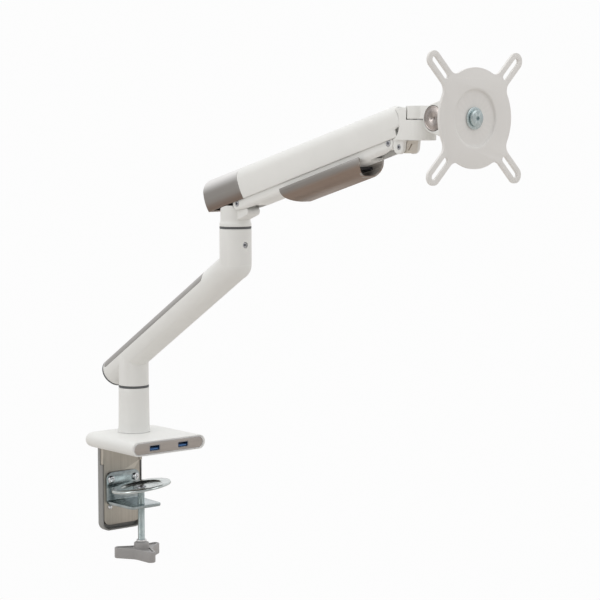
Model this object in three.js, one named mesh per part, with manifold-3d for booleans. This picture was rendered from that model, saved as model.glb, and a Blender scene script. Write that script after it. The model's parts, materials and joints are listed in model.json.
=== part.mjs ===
// Desk-clamped monitor arm with a spring-balanced upper arm, a two-port USB base and a tilting
// screen plate. Millimetres, +Z up. The origin is the point under the post where the base meets
// the desk; the arm reaches forward along -Y. "Forward" below means the distance along -Y.
import * as THREE from 'three';
import { mergeVertices } from 'three/addons/utils/BufferGeometryUtils.js';
import Module from 'manifold-3d';

const wasm = await Module();
wasm.setup();

// Driving dimensions
const gap = 0.3;                      // clearance between touching pieces

const baseHalfWidth = 49;
const baseForward = 66;
const baseBack = 33.5;
const baseHeight = 16;
const padHalf = 39.4;                 // rubber pad under the base
const padForward = 55.4;
const padBack = 22.9;
const postTop = 65.8;
const postRadius = 16.9;
const ringHeight = 2;

const armRadius = 16.2;               // lower arm limb
const hubRadius = 16.6;               // vertical ends of the lower arm
const limbRise = 31.3;                // degrees above the desk
const limbAxisHeight = 100.8;         // where the limb axis crosses the post axis
const tailLength = 43;                // limb behind the post axis
const elbowForward = 184.4;
const elbowTop = 250.3;

const armPitch = 15.6;                // upper arm above the desk, degrees
const linkLength = 235.4;             // between the link's two pivots
const linkPivotForward = 200.8;
const linkPivotHeight = 276.9;
const pivotSpacing = 18;              // housing pivot straight above the link pivot
const tongueHalf = 8.1;               // half thickness of both knuckles' tongues
const cheekInner = 8.4;
const cheekOuter = 10.9;
const housingInner = 11.5;
const housingOuter = 13.8;
const housingTop = 36;                // above the pivot line
const housingBottom = 2.2;
const housingTaper = 2.6;             // the top comes down this much at the front
const liftDown = 55;                  // degrees the arm can drop from here
const camRise = 8;                    // spring travel over that drop

const blockHalf = 14;
const blockTop = 373;
const blockBottom = 343;
const swivelSeat = 362.3;
const swivelForward = 460;
const tiltForward = 496.3;
const tiltHeight = 363;
const earInner = 15;
const earOuter = 20;

const plateFront = 530.3;
const plateThickness = 2.5;
const plateRadius = 45;
const slotInner = 52.2;               // just inside the 75 mm pattern hole, 53.03 from the centre
const slotOuter = 72.2;               // just past the 100 mm pattern hole, 70.71 from the centre
const slotWidth = 5.4;
const plateArmRadius = 7.6;

const spindleForward = 12.5;
const spindleRadius = 4;
const discRadius = 33.5;
const discHeight = -43.5;
const discLean = 8.5;                 // the loose pressure disc hangs off level
const discLeanHeading = 40;           // and leans about this horizontal direction
const clampPlateBack = -24.5;         // forward coordinate of the desk-edge face
const tongueTop = -64;

const rad = THREE.MathUtils.degToRad;

const finish = (color, roughness, metalness) =>
  new THREE.MeshStandardMaterial({ color, roughness, metalness });
const white = finish(0xe9e8e4, 0.5, 0);
const darkGrey = finish(0x55575a, 0.6, 0);
const aluminium = finish(0xb4b0ab, 0.35, 0.9);
const taupe = finish(0x9a9288, 0.4, 0.7);
const coverGrey = finish(0x8b8b8a, 0.45, 0.5);
const zinc = finish(0xa9b4b8, 0.3, 0.9);
const steel = finish(0x9b9ea2, 0.3, 0.9);
const chrome = finish(0xdfe2e4, 0.12, 1);
const knobGrey = finish(0x9d9a97, 0.45, 0.4);
const black = finish(0x1d1f22, 0.6, 0);
const blue = finish(0x1f4f9c, 0.5, 0);
const bronze = finish(0xa8834e, 0.45, 0.8);
const green = finish(0x27593a, 0.6, 0);

const armature = new THREE.Group();

// Solids and booleans
function solidOf(geometry) {
  const bare = geometry.clone();
  bare.deleteAttribute('normal');
  bare.deleteAttribute('uv');
  const merged = mergeVertices(bare, 1e-4);
  return new wasm.Manifold(new wasm.Mesh({
    numProp: 3,
    vertProperties: new Float32Array(merged.attributes.position.array),
    triVerts: new Uint32Array(merged.index.array),
  }));
}

function join(first, ...others) {
  return others.reduce((sum, other) => sum.add(other), first);
}

function cut(first, ...others) {
  return others.reduce((rest, other) => rest.subtract(other), first);
}

function addPiece(parent, name, solid, material) {
  const { vertProperties, triVerts } = solid.getMesh();
  const geometry = new THREE.BufferGeometry();
  geometry.setAttribute('position', new THREE.BufferAttribute(vertProperties, 3));
  geometry.setIndex(new THREE.BufferAttribute(triVerts, 1));
  const mesh = new THREE.Mesh(geometry, material);
  mesh.name = name;
  parent.add(mesh);
}

// Block by its limits: across (X), forward (-Y) and up (Z)
function block([x0, x1], [f0, f1], [z0, z1]) {
  const geometry = new THREE.BoxGeometry(x1 - x0, f1 - f0, z1 - z0);
  geometry.translate((x0 + x1) / 2, -(f0 + f1) / 2, (z0 + z1) / 2);
  return solidOf(geometry);
}

function extruded(shape, depth, curveSegments) {
  return new THREE.ExtrudeGeometry(shape, { depth, bevelEnabled: false, curveSegments });
}

// Outline in (x, y) drawn up between two heights
function planCut(shape, z0, z1, curveSegments = 4) {
  const geometry = extruded(shape, z1 - z0, curveSegments);
  geometry.translate(0, 0, z0);
  return solidOf(geometry);
}

// Outline in (x, z) drawn along the forward direction
function sectionCut(shape, f0, f1, curveSegments = 4) {
  const geometry = extruded(shape, f1 - f0, curveSegments);
  geometry.rotateX(Math.PI / 2);
  geometry.translate(0, -f0, 0);
  return solidOf(geometry);
}

// Outline in (forward, z) drawn across from x0 to x1
function sideCut(shape, x0, x1, curveSegments = 4) {
  const geometry = extruded(shape, x1 - x0, curveSegments);
  const side = new THREE.Matrix4().makeBasis(
    new THREE.Vector3(0, -1, 0), new THREE.Vector3(0, 0, 1), new THREE.Vector3(-1, 0, 0));
  geometry.applyMatrix4(side);
  geometry.translate(x1, 0, 0);
  return solidOf(geometry);
}

// Cylinders along the three directions
function upright(forward, radius, z0, z1, segments = 28) {
  const geometry = new THREE.CylinderGeometry(radius, radius, z1 - z0, segments);
  geometry.rotateX(Math.PI / 2);
  geometry.translate(0, -forward, (z0 + z1) / 2);
  return solidOf(geometry);
}

function crossPin(forward, height, radius, x0, x1, segments = 18) {
  const geometry = new THREE.CylinderGeometry(radius, radius, x1 - x0, segments);
  geometry.rotateZ(Math.PI / 2);
  geometry.translate((x0 + x1) / 2, -forward, height);
  return solidOf(geometry);
}

function forwardPin(x, height, radius, f0, f1, segments = 20, endRadius = radius) {
  const geometry = new THREE.CylinderGeometry(radius, endRadius, f1 - f0, segments);
  geometry.translate(x, -(f0 + f1) / 2, height);
  return solidOf(geometry);
}

// Profile of (radius, height) points turned about a vertical axis
function turned(profile, segments = 28) {
  const geometry = new THREE.LatheGeometry(profile.map(([r, z]) => new THREE.Vector2(r, z)), segments);
  geometry.rotateX(Math.PI / 2);
  return solidOf(geometry);
}

function placed(solid, [x, forward, z], turnX = 0, turnY = 0, turnZ = 0) {
  return solid.rotate([turnX, turnY, turnZ]).translate([x, -forward, z]);
}

// Outlines
function outline(points) {
  return new THREE.Shape(points.map(([a, b]) => new THREE.Vector2(a, b)));
}

function roundedRect(a0, a1, b0, b1, radius) {
  const shape = new THREE.Shape();
  shape.absarc(a1 - radius, b0 + radius, radius, -Math.PI / 2, 0);
  shape.absarc(a1 - radius, b1 - radius, radius, 0, Math.PI / 2);
  shape.absarc(a0 + radius, b1 - radius, radius, Math.PI / 2, Math.PI);
  shape.absarc(a0 + radius, b0 + radius, radius, Math.PI, 1.5 * Math.PI);
  return shape;
}

// Round-ended bar between two points, with its own radius at each end
function roundBar([a0, b0], [a1, b1], radius, endRadius = radius) {
  const shape = new THREE.Shape();
  const heading = Math.atan2(b1 - b0, a1 - a0);
  shape.absarc(a1, b1, endRadius, heading - Math.PI / 2, heading + Math.PI / 2);
  shape.absarc(a0, b0, radius, heading + Math.PI / 2, heading + 1.5 * Math.PI);
  return shape;
}

function disc(a, b, radius) {
  const shape = new THREE.Shape();
  shape.absarc(a, b, radius, 0, 2 * Math.PI);
  return shape;
}

// Base: a rounded slab with a flat front that carries the USB panel
function buildBase() {
  const rim = 0.3;
  const wall = 5;
  const pocketTop = 11.5;
  const slabRadius = (baseHeight - rim) / 2;
  const slabSection = roundedRect(-baseHalfWidth, baseHalfWidth, rim, baseHeight, slabRadius - 0.05);
  const slab = sectionCut(slabSection, -baseBack, baseForward);
  const backCorner = 14;
  const plan = new THREE.Shape();
  plan.moveTo(-baseHalfWidth - 1, -baseForward - 1);
  plan.lineTo(baseHalfWidth + 1, -baseForward - 1);
  plan.absarc(baseHalfWidth - backCorner, baseBack - backCorner, backCorner, 0, Math.PI / 2);
  plan.absarc(-baseHalfWidth + backCorner, baseBack - backCorner, backCorner, Math.PI / 2, Math.PI);
  const side = new THREE.Shape();
  side.absarc(-baseBack + slabRadius, rim + slabRadius, slabRadius + 0.02, Math.PI / 2, 1.5 * Math.PI);
  side.lineTo(baseForward + 1, rim - 0.02);
  side.lineTo(baseForward + 1, baseHeight + 1);
  const shell = slab
    .intersect(planCut(plan, -1, baseHeight + 1, 8))
    .intersect(sideCut(side, -baseHalfWidth - 1, baseHalfWidth + 1));

  const panelDepth = 1.6;
  const panelHalf = 45.6;
  const panelHeights = [2.4, 13.8];
  const bezelWidth = 1.1;
  const pill = (grow) => roundedRect(
    -panelHalf - grow, panelHalf + grow, panelHeights[0] - grow, panelHeights[1] + grow,
    (panelHeights[1] - panelHeights[0]) / 2 + grow - 0.05);
  const pocket = block([-40, 40], [-baseBack + wall, baseForward - 2 * wall], [-1, pocketTop]);
  const portSpacing = 38;
  const portHeight = 7.8;
  const portHalf = [6.9, 3.2];
  const ports = [-portSpacing / 2, portSpacing / 2];
  const portHole = (x, grow) => block(
    [x - portHalf[0] - grow, x + portHalf[0] + grow], [baseForward - 14 - grow, baseForward + 1],
    [portHeight - portHalf[1] - grow, portHeight + portHalf[1] + grow]);
  const panelSeat = sectionCut(pill(bezelWidth + gap), baseForward - panelDepth, baseForward + 1);
  const portCuts = ports.map((x) => portHole(x, gap));
  const shaftHole = upright(0, 9, 0, baseHeight + 1);
  addPiece(armature, 'base_cover', cut(shell, pocket, panelSeat, shaftHole, ...portCuts), white);

  const panel = sectionCut(pill(0), baseForward - panelDepth + gap, baseForward - 0.1);
  addPiece(armature, 'usb_panel', cut(panel, ...portCuts), taupe);
  const bezel = sectionCut(pill(bezelWidth), baseForward - panelDepth + gap, baseForward)
    .subtract(sectionCut(pill(0.2), 0, baseForward + 1));
  addPiece(armature, 'panel_bezel', bezel, chrome);

  ports.forEach((x, index) => {
    const side = index === 0 ? 'left' : 'right';
    const shellWall = 0.5;
    const hollow = block(
      [x - portHalf[0] + shellWall, x + portHalf[0] - shellWall], [baseForward - 12.5, baseForward + 1],
      [portHeight - portHalf[1] + shellWall, portHeight + portHalf[1] - shellWall]);
    const socket = block(
      [x - portHalf[0], x + portHalf[0]], [baseForward - 14, baseForward - 0.05],
      [portHeight - portHalf[1], portHeight + portHalf[1]]);
    addPiece(armature, `usb_socket_${side}`, cut(socket, hollow), steel);
    const tongue = block([x - 5.2, x + 5.2], [baseForward - 12.2, baseForward - 1.2], [5.7, 7.6]);
    addPiece(armature, `usb_tongue_${side}`, tongue, blue);
  });
  addPiece(armature, 'usb_board', block([-32, 32], [32, 51], [7.6, 9.2]), green);

  const padCorner = 6;
  const padThick = 1.5;
  const padOutline = roundedRect(-padHalf, padHalf, -padForward, padBack, padCorner);
  addPiece(armature, 'desk_pad', planCut(padOutline, 0, padThick), black);

  addPiece(armature, 'post', cut(turned([
    [0, baseHeight + gap], [18.4, baseHeight + gap], [17.6, baseHeight + 3], [17.2, baseHeight + 9],
    [postRadius, postTop - 8], [postRadius, postTop], [0, postTop],
  ]), upright(0, 8.6, 0, postTop + 1)), white);
  addPiece(armature, 'post_shaft', upright(0, 8, 6.2, 94, 28), steel);
  addPiece(armature, 'post_ring', cut(
    upright(0, postRadius, postTop + gap, postTop + gap + ringHeight),
    upright(0, 8.4, postTop, postTop + 4)), darkGrey);
}

// Clamp: a steel frame that hangs at the desk edge, its cover, and the screw assembly
function buildClamp() {
  const plateHalf = 24.5;
  const plateBottom = -92;
  const plateThick = 4;
  const f0 = clampPlateBack - plateThick;
  const corner = 7;
  const leaf = new THREE.Shape();
  leaf.absarc(-plateHalf + corner, plateBottom + corner, corner, Math.PI, 1.5 * Math.PI);
  leaf.absarc(plateHalf - corner, plateBottom + corner, corner, 1.5 * Math.PI, 2 * Math.PI);
  leaf.lineTo(plateHalf, 5.6);
  leaf.lineTo(-plateHalf, 5.6);
  const earDrop = -22.5;
  const ears = [-1, 1].map((side) => block(
    [Math.min(side * (plateHalf - 1), side * 27), Math.max(side * (plateHalf - 1), side * 27)],
    [clampPlateBack - 3, clampPlateBack + 1.2], [earDrop, 5.6]));
  const frame = join(
    sectionCut(leaf, f0, clampPlateBack), ...ears,
    block([-38, 38], [f0, 50], [1.9, 5.6]));
  const rivetAt = { x: 16.7, z: -71.5 };
  const screwAt = { x: 16.5, z: -40.2 };
  const boresFor = ({ x, z }) => [-x, x].map((side) => forwardPin(
    side, z, 2.3, f0 - 1, clampPlateBack + 3, 20));
  const screwBores = boresFor(screwAt);
  addPiece(armature, 'clamp_frame', cut(frame, ...boresFor(rivetAt), ...screwBores), taupe);

  const coverHalf = 27.2;
  const coverBottom = -98.6;
  const coverWall = 1.7;
  const coverBack = -33.2;
  const round = 10;
  const tray = (shrink, front, back) => {
    const shape = new THREE.Shape();
    const half = coverHalf - shrink;
    const low = coverBottom + shrink;
    shape.absarc(-half + round - shrink, low + round - shrink, round - shrink, Math.PI, 1.5 * Math.PI);
    shape.absarc(half - round + shrink, low + round - shrink, round - shrink, 1.5 * Math.PI, 2 * Math.PI);
    shape.lineTo(half, shrink ? 2 : -0.1);
    shape.lineTo(-half, shrink ? 2 : -0.1);
    return sectionCut(shape, back, front);
  };
  const earRelief = block([-29, 29], [clampPlateBack - 3.5, clampPlateBack + 3], [earDrop - 0.4, 4]);
  const coverShell = tray(0, clampPlateBack + 0.6, coverBack);
  const coverHollow = tray(coverWall, 0, coverBack + coverWall);
  addPiece(armature, 'clamp_cover', cut(coverShell, coverHollow, earRelief), coverGrey);

  const flangeHalf = 22.5;
  const flangeTop = -31.8;
  const flangeFront = -22.1;
  const flangeBack = clampPlateBack + gap;
  const tongueThick = 3.2;
  const tongueForward = 24.8;
  const flange = new THREE.Shape();
  flange.moveTo(-flangeHalf, tongueTop - tongueThick);
  flange.lineTo(flangeHalf, tongueTop - tongueThick);
  flange.absarc(flangeHalf - 8, flangeTop - 8, 8, 0, Math.PI / 2);
  flange.absarc(-flangeHalf + 8, flangeTop - 8, 8, Math.PI / 2, Math.PI);
  const shelf = new THREE.Shape();
  shelf.moveTo(flangeHalf, -flangeBack);
  shelf.lineTo(-flangeHalf, -flangeBack);
  shelf.lineTo(-flangeHalf, -flangeFront - 6);
  shelf.absarc(-flangeHalf + 8, -tongueForward + 6, 6, Math.PI, 1.5 * Math.PI);
  shelf.absarc(flangeHalf - 8, -tongueForward + 6, 6, 1.5 * Math.PI, 2 * Math.PI);
  shelf.lineTo(flangeHalf, -flangeFront - 6);
  const bracket = join(
    sectionCut(flange, flangeBack, flangeFront),
    planCut(shelf, tongueTop - tongueThick, tongueTop));
  const spindleHole = upright(spindleForward, spindleRadius + gap, -80, -50, 28);
  addPiece(armature, 'clamp_bracket', cut(bracket, spindleHole, ...screwBores), zinc);

  const shankRadius = 2;
  [-1, 1].forEach((hand) => {
    const side = hand < 0 ? 'left' : 'right';
    const screwX = hand * screwAt.x;
    const shank = forwardPin(screwX, screwAt.z, shankRadius, f0, flangeFront + 0.6, 16);
    const head = forwardPin(screwX, screwAt.z, 3.2, flangeFront + gap, flangeFront + 2.2, 20, 4.4);
    const slot = forwardPin(screwX, screwAt.z, 1.6, flangeFront + 1.2, flangeFront + 3, 6);
    addPiece(armature, `bracket_screw_${side}`, cut(join(shank, head), slot), chrome);
    const rivetX = hand * rivetAt.x;
    const stem = forwardPin(rivetX, rivetAt.z, shankRadius, f0, clampPlateBack + 0.6, 16);
    const cap = forwardPin(rivetX, rivetAt.z, 2.2, clampPlateBack + gap, clampPlateBack + 1.9, 20, 3);
    addPiece(armature, `frame_rivet_${side}`, join(stem, cap), chrome);
  });

  const spindleTop = discHeight - 4.6;
  addPiece(armature, 'clamp_spindle', upright(spindleForward, spindleRadius, -120, spindleTop, 28), zinc);
  addPiece(armature, 'spindle_collar', cut(
    upright(spindleForward, 5.6, -106.6, -104.4, 28),
    upright(spindleForward, spindleRadius + gap, -110, -100, 28)), chrome);

  const knobTop = -113.5;
  const knobBottom = -125.5;
  const star = new THREE.Shape();
  const lobes = 3;
  const lobeReach = 25.2;
  const lobeTip = 5.2;
  const waist = 12.5;
  for (let lobe = 0; lobe < lobes; lobe += 1) {
    const heading = rad(18.7 + lobe * 360 / lobes);
    star.absarc(lobeReach * Math.cos(heading), lobeReach * Math.sin(heading), lobeTip,
      heading - rad(75), heading + rad(75));
    const valley = heading + Math.PI / lobes;
    const left = [waist * Math.cos(valley), waist * Math.sin(valley)];
    star.lineTo(left[0], left[1]);
  }
  const knob = join(
    placed(planCut(star, knobBottom, knobTop, 5), [0, spindleForward, 0]),
    upright(spindleForward, 8.4, knobTop - 3, -106.9, 28));
  const knobBore = upright(spindleForward, spindleRadius + gap, -120 - gap, -100, 28);
  addPiece(armature, 'clamp_knob', cut(knob, knobBore), knobGrey);

  const lean = new THREE.Group();
  lean.position.set(0, -spindleForward, discHeight);
  const axis = new THREE.Vector3(-Math.sin(rad(discLeanHeading)), -Math.cos(rad(discLeanHeading)), 0);
  lean.quaternion.setFromAxisAngle(axis, rad(discLean));
  armature.add(lean);
  addPiece(lean, 'pressure_disc', turned([
    [3.4, -3.6], [21, -3.6], [24.5, -0.9], [discRadius - 1.4, -0.9], [discRadius - 1.4, -3.4],
    [discRadius, -3.4], [discRadius, 0.4], [discRadius - 0.6, 0.9], [24, 0.9], [20.4, -1.8], [3.4, -1.8],
    [3.4, -3.6],
  ], 36), zinc);
  addPiece(lean, 'disc_rivet', turned([
    [0, -3.9], [3, -3.9], [3, -1.5], [5.4, -1.5], [4.6, -0.3], [0, 0],
  ], 16), steel);
}

// Lower arm: an inclined tube with upright ends, a lift-off cable cover and a tail cap
function buildLowerArm() {
  const hubBottom = postTop + ringHeight + 2 * gap;
  const limbEnd = elbowForward / Math.cos(rad(limbRise));
  const elbowHeight = limbAxisHeight + elbowForward * Math.tan(rad(limbRise));
  const limb = new THREE.Group();
  limb.position.set(0, 0, limbAxisHeight);
  limb.rotation.x = -rad(limbRise);
  armature.add(limb);

  // Everything of the limb is made along its own axis, then leaned up with it
  const leaned = (solid) => solid.rotate([-limbRise, 0, 0]).translate([0, 0, limbAxisHeight]);
  const tube = leaned(forwardPin(0, 0, armRadius, -tailLength, limbEnd, 32));
  const ball = new THREE.SphereGeometry(hubRadius - 0.1, 28, 16);
  ball.rotateX(Math.PI / 2);
  ball.translate(0, -elbowForward, elbowHeight);
  const body = join(
    tube, solidOf(ball),
    upright(elbowForward, hubRadius, elbowHeight, elbowTop, 32),
    upright(0, hubRadius, hubBottom, limbAxisHeight, 32));

  const coverFrom = -39;
  const coverTo = 175;
  const coverSpan = 72;                // degrees each side of the top
  const sector = (inner, outer, span) => {
    const shape = new THREE.Shape();
    shape.absarc(0, 0, outer, rad(90 - span), rad(90 + span));
    shape.absarc(0, 0, inner, rad(90 + span), rad(90 - span), true);
    return shape;
  };
  const coverInner = armRadius - 2.2;
  const coverSeat = sectionCut(sector(coverInner, armRadius + 2, coverSpan), coverFrom, coverTo, 8);
  const channel = block([-7.5, 7.5], [22, 168], [-3, armRadius]);
  const screwAt = 234;
  const setScrewHole = forwardPin(0, screwAt, 3.3, elbowForward + 11, elbowForward + 20, 20);
  addPiece(armature, 'lower_arm', cut(
    body, leaned(coverSeat), leaned(channel), setScrewHole,
    upright(0, 10.3, hubBottom - 1, 95.5), upright(elbowForward, 9.3, 214, elbowTop + 1)), white);
  const coverSection = sector(coverInner + gap, armRadius, coverSpan - 1.2);
  addPiece(limb, 'cable_cover', sectionCut(coverSection, coverFrom + gap, coverTo - gap, 8), aluminium);
  addPiece(limb, 'tail_cap', forwardPin(0, 0, armRadius, -tailLength - 3, -tailLength - gap, 32), darkGrey);

  const ring = (forward, inner, outer, z0, z1) => cut(
    upright(forward, outer, z0, z1), upright(forward, inner, z0 - 1, z1 + 1));
  addPiece(armature, 'post_bush', ring(0, 8.3, 10, hubBottom + 1, 92), bronze);
  addPiece(armature, 'elbow_bush', ring(elbowForward, 7.3, 9, 218, elbowTop - 0.4), bronze);
  addPiece(armature, 'elbow_ring', ring(
    elbowForward, 9.6, hubRadius, elbowTop + gap, elbowTop + gap + ringHeight), darkGrey);
  const setScrew = forwardPin(0, screwAt, 3, elbowForward + 11.3, elbowForward + 15.2, 20);
  const socket = forwardPin(0, screwAt, 1.5, elbowForward + 13, elbowForward + 17, 6);
  addPiece(armature, 'elbow_set_screw', cut(setScrew, socket), steel);
}

// Upper arm frame: origin on the link's rear pivot, forward along the arm
const arm = new THREE.Group();
arm.position.set(0, -linkPivotForward, linkPivotHeight);
arm.rotation.x = -rad(armPitch);
armature.add(arm);
const pivotShift = {
  forward: pivotSpacing * Math.sin(rad(armPitch)),
  up: pivotSpacing * Math.cos(rad(armPitch)),
};
const rearPivot = [linkPivotForward, linkPivotHeight];
const rearUpperPivot = [linkPivotForward, linkPivotHeight + pivotSpacing];
const frontPivot = [
  linkPivotForward + linkLength * Math.cos(rad(armPitch)),
  linkPivotHeight + linkLength * Math.sin(rad(armPitch)),
];
const frontUpperPivot = [frontPivot[0], frontPivot[1] + pivotSpacing];

// Rear knuckle: neck, tongue with the spring cam, and a nose under the link
function buildRearKnuckle() {
  const neckBottom = elbowTop + ringHeight + 2 * gap;
  const neckRadius = 15.5;
  const neckTop = 274.4;
  const neck = placed(turned([
    [0, neckBottom], [hubRadius - 0.1, neckBottom], [hubRadius - 0.1, neckBottom + 3],
    [neckRadius, neckBottom + 7], [neckRadius, neckTop], [0, neckTop],
  ], 32), [0, elbowForward, 0]);
  // The neck's top slopes just under the rear cover's lower edge
  const slope = Math.tan(rad(armPitch));
  const lowerEdge = (forward) => linkPivotHeight + (forward - linkPivotForward) * slope + 1;
  const above = outline([
    [elbowForward - 20, lowerEdge(elbowForward - 20)], [elbowForward + 20, lowerEdge(elbowForward + 20)],
    [elbowForward + 20, 300], [elbowForward - 20, 300],
  ]);
  const linkRelief = [-1, 1].map((side) => crossPin(
    ...rearPivot, 7.2, side > 0 ? tongueHalf : -20, side > 0 ? 20 : -tongueHalf));
  const shoulders = cut(neck, sideCut(above, -20, 20), ...linkRelief);

  // The cam grows steadily as the arm comes down, so the spring travels in step with the lift
  const camBase = 8;
  const cam = new THREE.Shape();
  const camStart = armPitch + 6;
  const camEnd = armPitch - liftDown;
  const camSteps = 14;
  for (let step = 0; step <= camSteps; step += 1) {
    const angle = camEnd + (camStart - camEnd) * step / camSteps;
    const reach = camBase + camRise * (armPitch - angle) / liftDown;
    const point = [
      rearUpperPivot[0] + reach * Math.cos(rad(angle)),
      rearUpperPivot[1] + reach * Math.sin(rad(angle)),
    ];
    if (step === 0) {
      cam.moveTo(...point);
    } else {
      cam.lineTo(...point);
    }
  }
  cam.absarc(...rearUpperPivot, camBase - 0.9, rad(camStart + 8), rad(180));
  cam.lineTo(rearUpperPivot[0] - 9, 268);
  cam.lineTo(rearUpperPivot[0] + 6, 264);
  const nose = roundBar([elbowForward + 8, 264], [rearPivot[0] + 10, 269], 6, 4.4);
  const tongue = join(sideCut(cam, -tongueHalf, tongueHalf), sideCut(nose, -tongueHalf, tongueHalf));
  const bores = [
    crossPin(...rearPivot, 3.3, -20, 20), crossPin(...rearUpperPivot, 3.8, -20, 20),
    upright(elbowForward, 7.3, neckBottom - 1, 262.3),
  ];
  addPiece(armature, 'rear_knuckle', cut(join(shoulders, tongue), ...bores), white);
  addPiece(armature, 'elbow_shaft', upright(elbowForward, 7, 216, 262, 28), steel);
}

function pivotPin(name, parent, at, radius, half) {
  const sockets = [[-half - 1, -half + 2], [half - 2, half + 1]].map(([x0, x1]) => crossPin(
    ...at, 1.9, x0, x1, 6));
  addPiece(parent, name, cut(crossPin(...at, radius, -half, half), ...sockets), steel);
}

// Housing section: an arched channel, a little narrower at its open bottom edge
function archSection(half, top, bottom, tuck) {
  const shape = new THREE.Shape();
  const shoulder = top - half;
  shape.moveTo(-half + tuck, bottom);
  shape.quadraticCurveTo(-half, bottom + 7, -half, shoulder - 3);
  shape.absarc(0, shoulder, half, Math.PI, 0, true);
  shape.quadraticCurveTo(half, bottom + 7, half - tuck, bottom);
  return shape;
}

// Lowers points towards the front so that the arm's top line comes down evenly
function taperTop(geometry) {
  const position = geometry.attributes.position;
  for (let index = 0; index < position.count; index += 1) {
    const along = -position.getY(index) / linkLength;
    const share = Math.max(0, position.getZ(index) - housingBottom) / (housingTop - housingBottom);
    position.setZ(index, position.getZ(index) - housingTaper * along * share);
  }
}

function archShell(f0, f1, wall) {
  const tuck = 1.2;
  const make = (shape, from, to) => {
    const geometry = extruded(shape, to - from, 7);
    geometry.rotateX(Math.PI / 2);
    geometry.translate(0, -from, 0);
    taperTop(geometry);
    return solidOf(geometry);
  };
  const outer = make(archSection(housingOuter, housingTop, housingBottom, tuck), f0, f1);
  const hollow = archSection(housingInner, housingTop - wall, housingBottom - 2, 0.02);
  const inner = make(hollow, f0 - 1, f1 + 1);
  return { outer, inner };
}

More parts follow.
